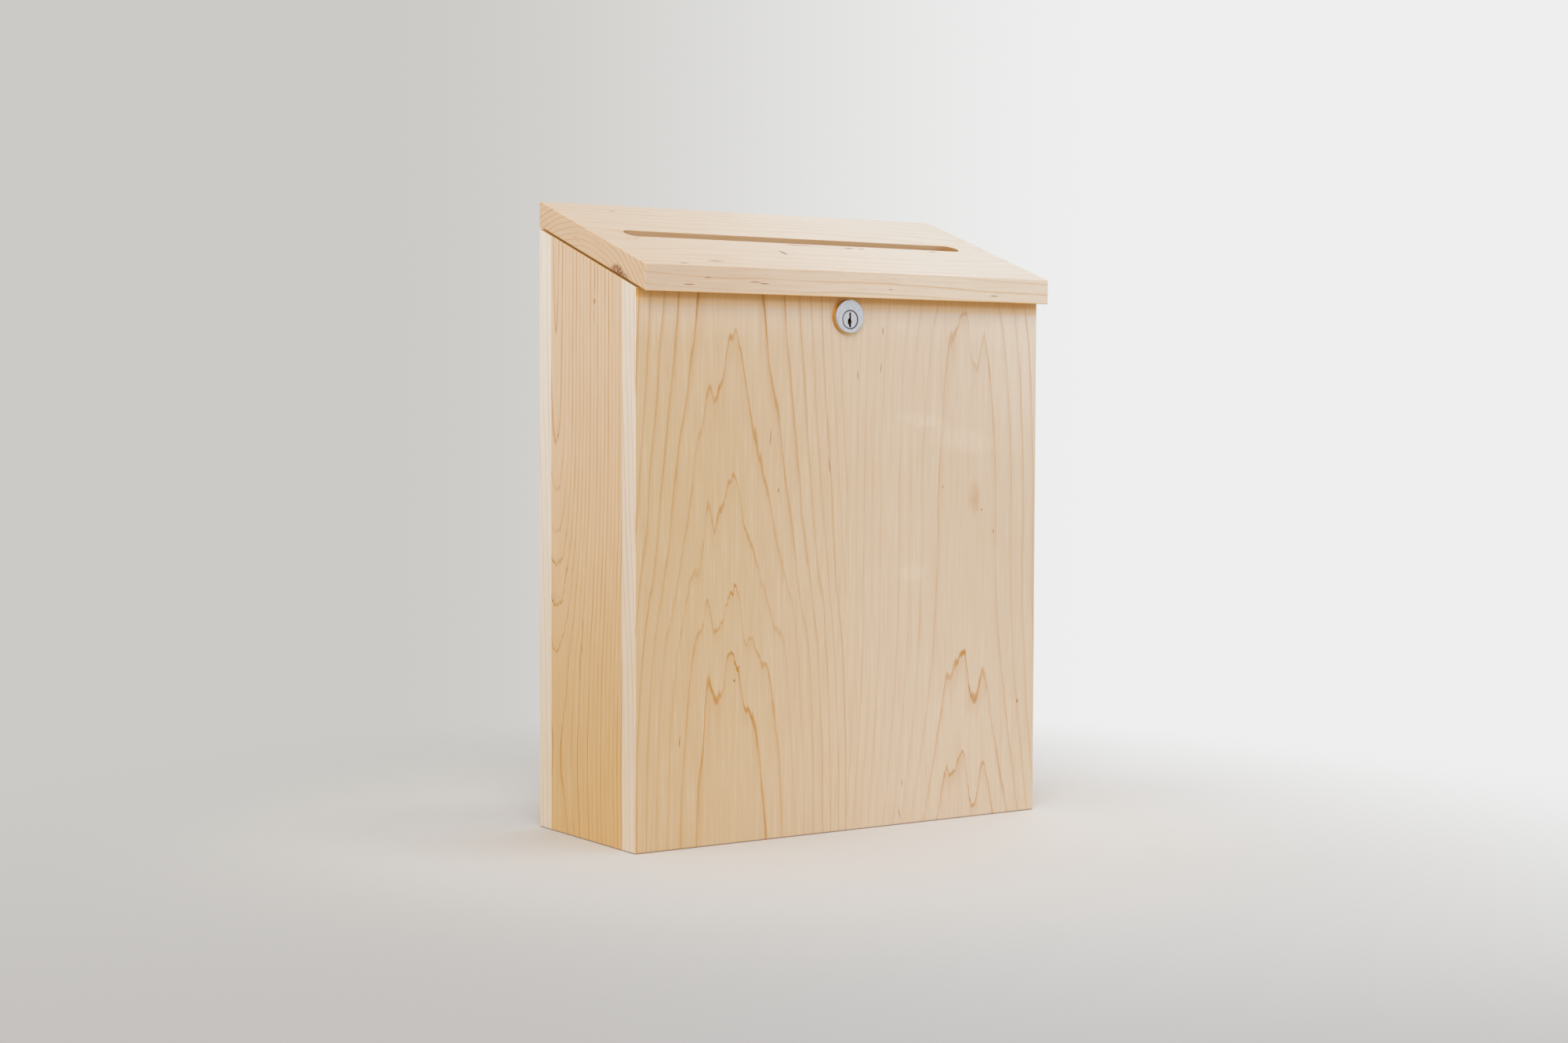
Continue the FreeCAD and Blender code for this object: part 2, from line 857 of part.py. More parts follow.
def all_parts():
    """Return every piece of the box under its own name."""
    left_hinge, right_hinge = hinge_middles()
    return {
        "front_panel": front_panel(),
        "back_panel": back_panel(),
        "left_side": side_wall(-1),
        "right_side": side_wall(1),
        "bottom_panel": bottom_panel(),
        "front_corner_dowels": corner_dowels(y_front, 1),
        "back_corner_dowels": corner_dowels(y_back, -1),
        "lid_bumpers": lid_bumpers(),
        "lid_panel": lid_panel(),
        "left_hinge_frame_leaf": frame_leaf(left_hinge),
        "right_hinge_frame_leaf": frame_leaf(right_hinge),
        "left_hinge_lid_leaf": lid_leaf(left_hinge),
        "right_hinge_lid_leaf": lid_leaf(right_hinge),
        "left_hinge_pin": hinge_pin(left_hinge),
        "right_hinge_pin": hinge_pin(right_hinge),
        "frame_leaf_screws": group(frame_leaf_screw_set(0.0)),
        "lid_leaf_screws": group(lid_leaf_screw_set(0.0)),
        "lock_housing": lock_housing(),
        "lock_washer": lock_washer(),
        "lock_nut": lock_nut(),
        "lock_plug": lock_plug(),
        "key_pins": key_pins(),
        "driver_pins": driver_pins(),
        "pin_springs": pin_springs(),
        "chamber_cover": chamber_cover(),
        "stop_washer": stop_washer(),
        "lock_cam": lock_cam(),
        "cam_screw": cam_screw(),
        "lid_catch": lid_catch(),
        "catch_screws": group(catch_screw_set(0.0)),
    }


def write_parts():
    """Write one file for each piece."""
    os.makedirs("parts", exist_ok=True)
    for name, shape in all_parts().items():
        shape.exportStep(os.path.join("parts", name + ".step"))


write_parts()
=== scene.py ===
import math
from typing import NamedTuple

import bmesh
import bpy
from bpy.props import FloatProperty, FloatVectorProperty, IntProperty, PointerProperty
from mathutils import Matrix, Vector


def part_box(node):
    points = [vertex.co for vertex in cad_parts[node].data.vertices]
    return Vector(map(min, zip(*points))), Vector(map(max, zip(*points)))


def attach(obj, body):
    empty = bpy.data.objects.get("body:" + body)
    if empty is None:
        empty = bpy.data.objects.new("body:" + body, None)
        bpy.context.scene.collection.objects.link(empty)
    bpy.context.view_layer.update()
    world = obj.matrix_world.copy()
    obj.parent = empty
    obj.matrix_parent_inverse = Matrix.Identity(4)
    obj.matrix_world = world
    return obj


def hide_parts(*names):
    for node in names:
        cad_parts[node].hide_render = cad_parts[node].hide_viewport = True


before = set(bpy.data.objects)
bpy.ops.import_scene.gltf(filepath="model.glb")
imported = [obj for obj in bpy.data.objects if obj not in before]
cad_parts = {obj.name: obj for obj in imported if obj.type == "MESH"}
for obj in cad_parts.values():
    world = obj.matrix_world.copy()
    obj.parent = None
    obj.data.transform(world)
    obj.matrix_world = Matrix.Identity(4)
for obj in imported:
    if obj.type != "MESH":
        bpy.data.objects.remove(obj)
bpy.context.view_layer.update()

bl_info = {
    "name": "Collection Box",
    "version": (1, 0, 0),
    "blender": (4, 5, 0),
    "location": "View3D > Sidebar > Collection Box",
    "description": "Dresses a maple collection box with a sloping lid, hinges and a key lock",
    "category": "Object",
}

MM = 0.001
COLOUR = {"subtype": "COLOR", "min": 0, "max": 1}
FRONT_LOW, FRONT_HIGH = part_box("front_panel")
BACK_LOW, BACK_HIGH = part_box("back_panel")
SIDE_LOW, SIDE_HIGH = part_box("left_side")
LID_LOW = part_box("lid_panel")[0]


def lid_tilt():
    """Return the lid's slope, read from its largest upward face."""
    faces = [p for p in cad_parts["lid_panel"].data.polygons if p.normal.z > 0.5]
    top = max(faces, key=lambda face: face.area)
    return math.atan2(-top.normal.y, top.normal.z)


LID_SLOPE = lid_tilt()


class MapleProps(bpy.types.PropertyGroup):
    """Colours and ring sizes of the maple boards."""

    pale: FloatVectorProperty(
        name="Pale Wood", description="Light sapwood on the right of the front and the left of the lid",
        default=(0.73, 0.61, 0.49), **COLOUR)
    warm: FloatVectorProperty(
        name="Warm Wood", description="Tan wood on the left of the front",
        default=(0.655, 0.48, 0.29), **COLOUR)
    rosy: FloatVectorProperty(
        name="Rosy Wood", description="Upper end of the side boards",
        default=(0.79, 0.605, 0.44), **COLOUR)
    honey: FloatVectorProperty(
        name="Honey Wood", description="Foot of the side boards",
        default=(0.69, 0.445, 0.195), **COLOUR)
    # Besides the oiled tone, this amber paints the warm glow of light under the lid on the rims, the
    # lid's underside and a band at the top of the front.
    oiled_and_glow: FloatVectorProperty(
        name="Oiled Wood", description="Amber wood of the rims, the slot and the lid's underside",
        default=(0.84, 0.57, 0.29), **COLOUR)
    edge: FloatVectorProperty(
        name="Edge Grain", description="Creamy sawn edges of the front and back boards",
        default=(0.755, 0.635, 0.505), **COLOUR)
    # Besides pale wood, Cream paints the sheen on the lid's top towards its right end and the highlights
    # on the front.
    cream_and_highlight: FloatVectorProperty(
        name="Cream", description="Palest wood, on the lid's bright end and the upper edges",
        default=(0.86, 0.795, 0.715), **COLOUR)
    # Glow is painted: amber shade on the front just under the lid and a warm glow on the lower edges of
    # the lid's ends.
    glow: FloatVectorProperty(
        name="Glow", description="Deep amber of the front just under the lid",
        default=(0.72, 0.39, 0.085), **COLOUR)
    ring_line: FloatVectorProperty(
        name="Ring Line", description="Thin brown line between two growth rings",
        default=(0.53, 0.225, 0.005), **COLOUR)
    # Fleck also paints the contact shadow along the boards' feet and the shade on the left of the lid's
    # front.
    fleck_and_shade: FloatVectorProperty(
        name="Fleck", description="Dark mineral flecks and pin knots",
        default=(0.33, 0.115, 0.02), **COLOUR)
    line_width: FloatProperty(
        name="Ring Line Width", description="Width of a ring line on a board's face, in millimetres",
        default=0.6, min=0.1, max=2)
    roughness: FloatProperty(
        name="Roughness", description="Roughness of the satin finish",
        subtype="FACTOR", default=0.42, min=0, max=1)


class MetalProps(bpy.types.PropertyGroup):
    """Colours of the hinges, screws and lock."""

    satin: FloatVectorProperty(
        name="Satin Chrome", description="Lock face and plug",
        default=(0.74, 0.76, 0.81), **COLOUR)
    nickel: FloatVectorProperty(
        name="Nickel", description="Hinge leaves and pins",
        default=(0.70, 0.67, 0.62), **COLOUR)
    zinc: FloatVectorProperty(
        name="Zinc", description="Catch, cam, nut and washers",
        default=(0.66, 0.67, 0.68), **COLOUR)
    steel: FloatVectorProperty(
        name="Steel", description="Screws and springs",
        default=(0.60, 0.59, 0.57), **COLOUR)
    brass: FloatVectorProperty(
        name="Brass", description="Tumbler pins",
        default=(0.80, 0.58, 0.24), **COLOUR)
    # The collar colour is a painted reflection of the wood round the lock.
    collar: FloatVectorProperty(
        name="Collar", description="Lock's collar, warmed by the wood round it",
        default=(0.80, 0.47, 0.12), **COLOUR)


class ScrewProps(bpy.types.PropertyGroup):
    """Sizes of the countersunk wood screws and the pin springs."""

    recess_reach: FloatProperty(
        name="Recess Reach", description="Length of each arm of the cross recess",
        unit="LENGTH", default=1.55 * MM, min=0.5 * MM, max=2.5 * MM)
    recess_width: FloatProperty(
        name="Recess Width", description="Width of the arms of the cross recess",
        unit="LENGTH", default=0.85 * MM, min=0.3 * MM, max=1.5 * MM)
    recess_depth: FloatProperty(
        name="Recess Depth", description="Depth of the cross recess",
        unit="LENGTH", default=1.3 * MM, min=0.3 * MM, max=2 * MM)
    thread_pitch: FloatProperty(
        name="Thread Pitch", description="Rise of the thread in one turn",
        unit="LENGTH", default=1.4 * MM, min=0.5 * MM, max=3 * MM)
    spring_turns: IntProperty(
        name="Spring Turns", description="Turns of each pin spring", default=6, min=3, max=12)
    spring_wire: FloatProperty(
        name="Spring Wire", description="Thickness of the pin springs' wire",
        unit="LENGTH", default=0.3 * MM, min=0.1 * MM, max=0.5 * MM)


class StageProps(bpy.types.PropertyGroup):
    """Camera, light and floor."""

    camera_place: FloatVectorProperty(
        name="Camera Place", description="Where the camera stands",
        subtype="TRANSLATION", default=(-1.11496, -1.632105, 0.32909))
    camera_turn: FloatProperty(
        name="Camera Turn", description="How far the camera looks to the right of straight ahead",
        unit="ROTATION", default=0.5945)
    camera_dip: FloatProperty(
        name="Camera Dip", description="How far the camera looks down",
        unit="ROTATION", default=0.0453)
    camera_roll: FloatProperty(
        name="Camera Roll", description="How far the camera leans to the left",
        unit="ROTATION", default=0.0034)
    lens: FloatProperty(
        name="Lens", description="Focal length of the camera",
        unit="CAMERA", default=56.63, min=10, max=200)
    floor_tone: FloatVectorProperty(
        name="Floor", description="Colour of the pale floor",
        default=(0.76, 0.745, 0.735), **COLOUR)
    dim_air: FloatVectorProperty(
        name="Dim Side", description="Studio light on the camera's left",
        default=(0.60, 0.59, 0.565), **COLOUR)
    bright_air: FloatVectorProperty(
        name="Bright Side", description="Studio light on the camera's right",
        default=(0.855, 0.855, 0.855), **COLOUR)
    dim_floor: FloatVectorProperty(
        name="Dim Floor", description="Far floor on the camera's left",
        default=(0.555, 0.535, 0.52), **COLOUR)
    bright_floor: FloatVectorProperty(
        name="Bright Floor", description="Far floor on the camera's right",
        default=(0.575, 0.565, 0.555), **COLOUR)
    key_power: FloatProperty(
        name="Key Power", description="Power of the large soft light, in watts",
        default=38, min=0, max=1000)
    fill_power: FloatProperty(
        name="Fill Power", description="Power of the soft light on the left, in watts",
        default=12, min=0, max=1000)


class BoxProps(bpy.types.PropertyGroup):
    """Everything that can be changed about the box's looks."""

    maple: PointerProperty(type=MapleProps)
    metal: PointerProperty(type=MetalProps)
    screw: PointerProperty(type=ScrewProps)
    stage: PointerProperty(type=StageProps)


def arithmetic(operation, swapped=False):
    """Return a method that adds a Math node to the sheet of a term."""
    def method(term, *other):
        terms = (*other, term) if swapped else (term, *other)
        return term.sheet.math(operation, *terms)
    return method


class Term:
    """A shader socket; arithmetic on it adds Math nodes."""

    def __init__(self, sheet, socket):
        self.sheet = sheet
        self.socket = socket

    __add__ = __radd__ = arithmetic("ADD")
    __sub__ = arithmetic("SUBTRACT")
    __rsub__ = arithmetic("SUBTRACT", swapped=True)
    __mul__ = __rmul__ = arithmetic("MULTIPLY")
    __truediv__ = arithmetic("DIVIDE")
    __rtruediv__ = arithmetic("DIVIDE", swapped=True)
    __abs__ = arithmetic("ABSOLUTE")


class Sheet:
    """A node tree that is being filled in."""

    def __init__(self, tree):
        tree.nodes.clear()
        self.tree = tree

    def node(self, kind, settings=None, sockets=None, output=0):
        """Add a node, set it up, fill or link its sockets and return one of its outputs."""
        made = self.tree.nodes.new(kind)
        for name, value in (settings or {}).items():
            if name == "stops":
                self.shape_curve(made.mapping, value)
            else:
                setattr(made, name, value)
        for key, value in (sockets or {}).items():
            if isinstance(value, Term):
                self.tree.links.new(value.socket, made.inputs[key])
            else:
                made.inputs[key].default_value = value
        return Term(self, made.outputs[output]) if made.outputs else None

    @staticmethod
    def shape_curve(mapping, stops):
        """Lay a Float Curve through its stops."""
        points = mapping.curves[0].points
        points[0].location = stops[0]
        points[1].location = stops[-1]
        for stop in stops[1:-1]:
            points.new(*stop)
        mapping.update()

    def math(self, operation, *terms):
        """Add a Math node."""
        return self.node("ShaderNodeMath", {"operation": operation}, dict(enumerate(terms)))

    def measure(self, operation, *vectors):
        """Return one value that is measured on vectors."""
        settings = {"operation": operation}
        return self.node("ShaderNodeVectorMath", settings, dict(enumerate(vectors)), output="Value")

    def join(self, x, y, z):
        """Return three values as one vector."""
        return self.node("ShaderNodeCombineXYZ", sockets={0: x, 1: y, 2: z})

    def split(self, vector):
        """Return the three values of a vector."""
        parts = self.node("ShaderNodeSeparateXYZ", sockets={0: vector}).socket.node
        return [Term(self, socket) for socket in parts.outputs]

    def place(self, corner=(0, 0, 0), turn=(0, 0, 0)):
        """Return millimetres from a corner of the piece, along axes turned to suit its grain."""
        here = self.node("ShaderNodeTexCoord", output="Object")
        return self.node("ShaderNodeMapping", {"vector_type": "TEXTURE"},
                         {"Vector": here, "Location": corner, "Rotation": turn, "Scale": (MM, MM, MM)})

    def fade(self, value, start, end):
        """Return 0 at start and 1 at end, with a smooth step between them."""
        return self.node("ShaderNodeMapRange", {"interpolation_type": "SMOOTHSTEP"},
                         {"Value": value, "From Min": start, "From Max": end})

    def noise(self, place, size, seed, detail=1.0):
        """Return noise between about -0.5 and 0.5 whose grains have the given size."""
        scale = [1 / length for length in size]
        moved = self.node("ShaderNodeMapping", sockets={
            "Vector": place, "Scale": scale, "Location": (seed, seed * 1.7, seed * 2.3)})
        grains = {"Vector": moved, "Scale": 1.0, "Detail": detail}
        return self.node("ShaderNodeTexNoise", sockets=grains) - 0.5

    def mix(self, factor, low, high):
        """Return a colour between two colours."""
        low, high = (c if isinstance(c, Term) else (*c, 1.0) for c in (low, high))
        return self.node("ShaderNodeMix", {"data_type": "RGBA"}, {0: factor, 6: low, 7: high}, output=2)

    def spot(self, place, centre, size, lean=0.0):
        """Return 1 inside a small lens-shaped spot and 0 outside."""
        inside = self.node("ShaderNodeMapping", {"vector_type": "TEXTURE"}, {
            "Vector": place, "Location": centre, "Rotation": (0, lean, 0), "Scale": size})
        return self.fade(self.measure("LENGTH", inside), 1.0, 0.3)

    def most(self, *terms):
        """Return the largest of several values."""
        largest = terms[0]
        for term in terms[1:]:
            largest = self.math("MAXIMUM", largest, term)
        return largest

    def spots(self, place, rows):
        """Return 1 inside any of several spots, each a row of centre, size and maybe lean."""
        return self.most(*[self.spot(place, *row) for row in rows])

    def surface(self, sockets, height, bump):
        """Finish the sheet with a surface shader and a bump whose height is in millimetres."""
        raised = {"Strength": bump, "Distance": MM, "Height": height}
        normal = self.node("ShaderNodeBump", sockets=raised)
        shader = self.node("ShaderNodeBsdfPrincipled", sockets={**sockets, "Normal": normal})
        self.node("ShaderNodeOutputMaterial", sockets={"Surface": shader})


def new_finish(name):
    """Return a new material and its empty sheet."""
    material = bpy.data.materials.new(name)
    material.use_nodes = True
    return material, Sheet(material.node_tree)


def dress(material, *names):
    """Give CAD nodes a material."""
    for name in names:
        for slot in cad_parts[name].material_slots:
            slot.material = material


# Axis of the place that the grain runs along.
GRAIN_X = 0
GRAIN_Z = 2

# The float curves run from 0 to 1, so lengths, rings and shifts are scaled to fit them.
CURVE_SPAN = 450.0
CURVE_RINGS = 60.0
FLAME_SPAN = 100.0

# Grains of the noises that make the rings uneven: across, into and along the board, in millimetres.
TONGUES = (8.5, 8.5, 90)
TEETH = (1.8, 1.8, 14)
GROWTH = (26, 26, 150)
WAVES = (6, 6, 40)
BREAKS = (12, 12, 60)

# How far teeth and waves move a ring, and a ring's least slope at a board's face.
SERRATION = 9.0
FLANK_WAVE = 0.7
GENTLEST = 0.03


class Stave(NamedTuple):
    """How one strip of maple was cut from its log; lengths in millimetres.

    heart is where the log's heart lies across the strip, and rise is how many rings deep it lies at
    lengths along the grain. seed sets the strip's noise. spacing is the width of a ring, wander how
    unevenly the rings grew and jag how ragged their peaks are. fading weakens the lines on the flanks,
    bold strengthens them all and late darkens the wood beside them. flame moves the peaks along the
    grain, at places across the strip.
    """

    heart: float
    rise: tuple
    seed: float
    spacing: float = 5.0
    wander: float = 1.8
    jag: float = 26.0
    fading: float = 9.0
    bold: float = 1.2
    late: float = 1.0
    flame: tuple = ()


def ring_lines(s, across, depth, along, stave, width):
    """Return the ring lines and the soft darker wood inside each line of one strip.

    The rings are circles round the log's heart, which lies behind the board's face at a depth
    that changes along the grain, so they show as peaks on the face and as stripes on the edges.
    """
    place = s.join(across, depth, along)
    aside = across - stave.heart
    lift = s.noise(place, TONGUES, stave.seed + 5) * stave.jag
    lift += s.noise(place, TEETH, stave.seed + 9) * SERRATION
    if stave.flame:
        stops = [(reach / CURVE_SPAN, rise / FLAME_SPAN + 0.5) for reach, rise in stave.flame]
        flame = s.node("ShaderNodeFloatCurve", {"stops": stops}, {"Value": across / CURVE_SPAN})
        lift += (flame - 0.5) * FLAME_SPAN
    stops = [(length / CURVE_SPAN, rings / CURVE_RINGS) for length, rings in stave.rise]
    height = (along - lift) / CURVE_SPAN
    heart_depth = s.node("ShaderNodeFloatCurve", {"stops": stops}, {"Value": height})
    below = heart_depth * (CURVE_RINGS * stave.spacing) - depth
    radius = s.math("SQRT", aside * aside + below * below)
    radius += s.noise(place, GROWTH, stave.seed) * stave.wander
    radius += s.noise(place, WAVES, stave.seed + 13) * FLANK_WAVE
    ring = radius / stave.spacing
    nearest = s.math("FLOOR", ring + 0.5)
    offset = ring - nearest
    steepness = abs(aside) / (radius * stave.spacing) + GENTLEST
    line = s.fade(abs(offset), steepness * width, steepness * (width * 0.2))
    late = s.fade(offset, -0.3, 0.0) * s.fade(offset, 0.03, 0.0)
    chance = s.node("ShaderNodeTexWhiteNoise", {"noise_dimensions": "1D"}, {"W": nearest + stave.seed})
    faint = stave.bold / (steepness * stave.fading + 1)
    broken = s.fade(s.noise(place, BREAKS, stave.seed + 21), -0.2, 0.15) * 0.6 + 0.4
    return line * (chance * 0.6 + 0.4) * faint * broken, late * (chance * 0.6 + 0.2) * stave.late


def glued_strips(s, x, y, z, left, right, seam, width):
    """Return the ring lines and darker wood of an upright board glued up from two strips."""
    left_line, left_late = ring_lines(s, x, y, z, left, width)
    right_line, right_late = ring_lines(s, x, y, z, right, width)
    on_right = s.math("GREATER_THAN", x, seam)
    on_left = 1 - on_right
    return left_line * on_left + right_line * on_right, left_late * on_left + right_late * on_right


def grain_noise(s, place, grain, length, width, seed, detail):
    """Return noise whose grains are stretched along the wood's grain."""
    size = [length if axis == grain else width for axis in range(3)]
    return s.noise(place, size, seed, detail)


def maple_surface(s, tint, line, late, marks, place, grain):
    """Finish a maple sheet: fibres, streaks, ring lines, dark marks with any painted contact shadow, and
    the satin sheen.
    """
    maple = bpy.context.scene.collection_box.maple
    fibre = grain_noise(s, place, grain, length=12.0, width=0.45, seed=2.0, detail=3.0)
    broad = grain_noise(s, place, grain, length=160.0, width=30.0, seed=6.0, detail=2.0)
    patch = grain_noise(s, place, grain, length=24.0, width=14.0, seed=11.0, detail=3.0)
    streak = grain_noise(s, place, grain, length=50.0, width=2.2, seed=19.0, detail=2.0)
    worn = s.mix(s.fade(streak, 0.0, -0.3) * 0.16, tint, maple.cream_and_highlight)
    worn = s.mix(s.fade(streak, 0.0, 0.3) * 0.12, worn, maple.ring_line)
    worn = s.mix(line * 0.85 + late * 0.17, worn, maple.ring_line)
    worn = s.mix(fibre * 0.16 + broad * 0.10 + patch * 0.08 + 0.05, worn, maple.ring_line)
    worn = s.mix(marks * 0.8, worn, maple.fleck_and_shade)
    s.surface({"Base Color": worn, "Roughness": fibre * 0.18 + maple.roughness},
              fibre * 0.05 - line * 0.03, 0.35)


def sawn_edge(s, across):
    """Return 1 on the left and right edges of a full-width board."""
    width = (FRONT_HIGH.x - FRONT_LOW.x) / MM
    return s.most(s.fade(across, 0.5, 0.1), s.fade(across, width - 0.5, width - 0.1))


def foot_shadow(s, height):
    """Return the painted contact shadow, a thin dark line where a board's foot meets the floor."""
    return s.fade(height, 1.1, 0.2) * 0.6


def sloping_rim(s):
    """Return 1 on the sloping upper edges of the boards, under the lid, which take the amber that paints
    the gap's warm glow.
    """
    _, back, up = s.split(s.place())
    steep = math.tan(LID_SLOPE)
    top = (SIDE_HIGH.z - SIDE_HIGH.y * steep) / MM
    return s.fade(up - back * steep, top - 0.8, top - 0.2)


FLECK_DEPTH = 6.0


def face_spots(*rows):
    """Return spots on a board's face from places across, heights, half sizes and leans."""
    return [((x, 0, z), (half, FLECK_DEPTH, length), *lean) for x, z, half, length, *lean in rows]


FRONT_SEAM = 192.0
FRONT_LEFT = Stave(
    heart=85, seed=3.1, wander=2.4, jag=34, fading=60, bold=5.8, late=1.9,
    rise=((0, 21.1), (100, 21.5), (151, 22), (200.5, 23), (278.5, 24), (382, 25), (450, 25.4)),
    flame=((0, 0), (52, 0), (59, -10), (62, 6), (70, -28), (75, -28), (85, -3), (95, -28),
           (104, -32), (114, -30), (126, -16), (145, 0), (450, 0)))
FRONT_RIGHT = Stave(
    heart=310, seed=8.7, wander=0.9, jag=18, fading=60, bold=3.6, late=1.4,
    rise=((0, 21.2), (46, 22), (136, 23), (300, 23.35), (380, 23.8), (398, 24), (450, 24.7)),
    flame=((0, 0), (280, 0), (290, 17), (295, 2), (307, 8), (316, -33), (330, 14), (340, 0), (450, 0)))
FRONT_FLECKS = face_spots(
    (119.5, 308, 0.5, 9, 0.06), (127, 267.5, 0.7, 2.4), (174.5, 286, 0.5, 9, -0.12),
    (223.5, 362, 0.5, 5, 0.1), (225, 391, 0.6, 4), (201, 356, 0.5, 5), (285.5, 268, 0.5, 2),
    (325, 249, 0.7, 1.6), (337.5, 231, 0.6, 2.6), (363.5, 91, 1.0, 2.4), (246, 33, 0.4, 4),
    (243.5, 9, 0.5, 6, -0.15), (38.5, 81, 0.5, 6, 0.1), (91, 134, 0.9, 1.3), (87, 124, 1.3, 1.3))
# Painted highlights on the curly grain of the front's right strip.
FRONT_PAINTED_GLEAMS = (
    ((266, 0, 321), (34, 8, 8), 0.1),
    ((303, 0, 306), (46, 8, 14), 0.15),
    ((256, 0, 200), (18, 8, 9)),
)


class COLLECTION_BOX_OT_front_panel(bpy.types.Operator):
    """Dress the front board, which is glued up from two strips"""

    bl_idname = "collection_box.front_panel"
    bl_label = "Front Panel"

    def execute(self, context):
        maple = context.scene.collection_box.maple
        material, s = new_finish("front_maple")
        place = s.place(FRONT_LOW)
        x, y, z = s.split(place)
        width = maple.line_width * 1.5
        line, late = glued_strips(s, x, y, z, FRONT_LEFT, FRONT_RIGHT, FRONT_SEAM, width)
        # The lines are weak near the glue joint, towards the left edge and on the sawn edges.
        line *= 1 - s.fade(abs(x - 205), 95, 45) * 0.7 - s.fade(x, 60, 20) * 0.4
        sawn = sawn_edge(s, x)
        line *= 1 - sawn * 0.7
        tint = self.face_tint(s, maple, x, z)
        tint = s.mix(sloping_rim(s), tint, maple.oiled_and_glow)
        tint = s.mix(sawn, tint, s.mix(s.fade(z, 60, 560), maple.edge, maple.cream_and_highlight))
        tint = self.curly_tint(s, maple, place, tint)
        marks = s.most(s.spots(place, FRONT_FLECKS), foot_shadow(s, z))
        maple_surface(s, tint, line, late, marks, place, GRAIN_Z)
        dress(material, "front_panel")
        return {"FINISHED"}

    def face_tint(self, s, maple, x, z):
        """Return the face's colour: warm on the left, pale on the right, with a painted highlight at the
        top right and painted light and shade just under the lid.
        """
        tone = s.fade(x, 40, 265) * 0.75 + s.fade(z, 250, 430) * 0.25
        tint = s.mix(tone, maple.warm, maple.pale)
        # Painted highlight: glare brightens the top right and a band below the lid.
        glare = s.fade(x, 290, 380) * s.fade(z, 230, 400) * 0.4 + s.fade(z, 375, 404) * 0.22
        tint = s.mix(glare, tint, maple.cream_and_highlight)
        # Painted light under the lid: a warm glow, then amber shade right under its edge.
        tint = s.mix(s.fade(z, 404, 410) * 0.75, tint, maple.oiled_and_glow)
        return s.mix(s.fade(z, 410, 413.5) * 0.82, tint, maple.glow)

    def curly_tint(self, s, maple, place, tint):
        """Return a tint with the dark patch and the painted gleams of light on the right strip's curly
        grain.
        """
        curl = s.noise(place, (3, 3, 9), 17.0, 2.0) + 0.5
        patch = s.spot(place, (317.5, 0, 258), (8, 8, 20))
        tint = s.mix(patch * curl * 0.5, tint, maple.ring_line)
        return s.mix(s.spots(place, FRONT_PAINTED_GLEAMS) * curl * 0.32, tint, maple.cream_and_highlight)


BACK_SEAM = 204.0
BACK_LEFT = Stave(heart=120, seed=15.2, rise=((0, 20.3), (140, 22), (260, 24.2), (450, 26)))
BACK_RIGHT = Stave(heart=262, seed=21.9, rise=((0, 24), (200, 22.6), (330, 21.2), (450, 20.6)))
BACK_FLECKS = face_spots((70, 310, 0.6, 5), (300, 120, 0.7, 3), (250, 402, 0.5, 6, 0.1))


class COLLECTION_BOX_OT_back_panel(bpy.types.Operator):
    """Dress the back board"""

    bl_idname = "collection_box.back_panel"
    bl_label = "Back Panel"

    def execute(self, context):
        maple = context.scene.collection_box.maple
        material, s = new_finish("back_maple")
        place = s.place((BACK_HIGH.x, BACK_HIGH.y, BACK_LOW.z), (0, 0, math.pi))
        x, y, z = s.split(place)
        line, late = glued_strips(s, x, y, z, BACK_LEFT, BACK_RIGHT, BACK_SEAM, maple.line_width)
        sawn = sawn_edge(s, x)
        line *= 1 - sawn * 0.7
        tint = s.mix(s.fade(x, 60, 330) * 0.6 + 0.2, maple.warm, maple.pale)
        tint = s.mix(sawn, tint, s.mix(s.fade(z, -60, 470), maple.edge, maple.cream_and_highlight))
        tint = s.mix(sloping_rim(s), tint, maple.oiled_and_glow)
        marks = s.most(foot_shadow(s, z), s.spots(place, BACK_FLECKS))
        maple_surface(s, tint, line, late, marks, place, GRAIN_Z)
        dress(material, "back_panel")
        return {"FINISHED"}


LEFT_STAVE = Stave(
    heart=27, seed=31.4, spacing=5.4, wander=1.2, jag=12, fading=5, bold=1.5,
    rise=((0, 7.3), (30, 7.7), (65, 7.9), (100, 7.6), (143, 7), (176, 6), (208, 5), (233, 4), (266, 3),
          (303, 2), (370, 1.2), (450, 0.6)))
RIGHT_STAVE = Stave(
    heart=95, seed=44.8, spacing=4.6, wander=2.0, fading=5, bold=1.5,
    rise=((0, 14), (120, 15.5), (240, 17), (330, 18.2), (450, 19)))
LEFT_KNOTS = face_spots(
    (86.5, 410, 2.4, 3.6), (87, 428, 0.8, 19), (86, 398, 0.7, 10),
    (66.5, 146, 1.8, 6), (64, 130, 0.9, 18), (68, 160, 0.8, 13))
RIGHT_KNOTS = face_spots((60, 220, 0.7, 4), (112, 300, 0.6, 3))


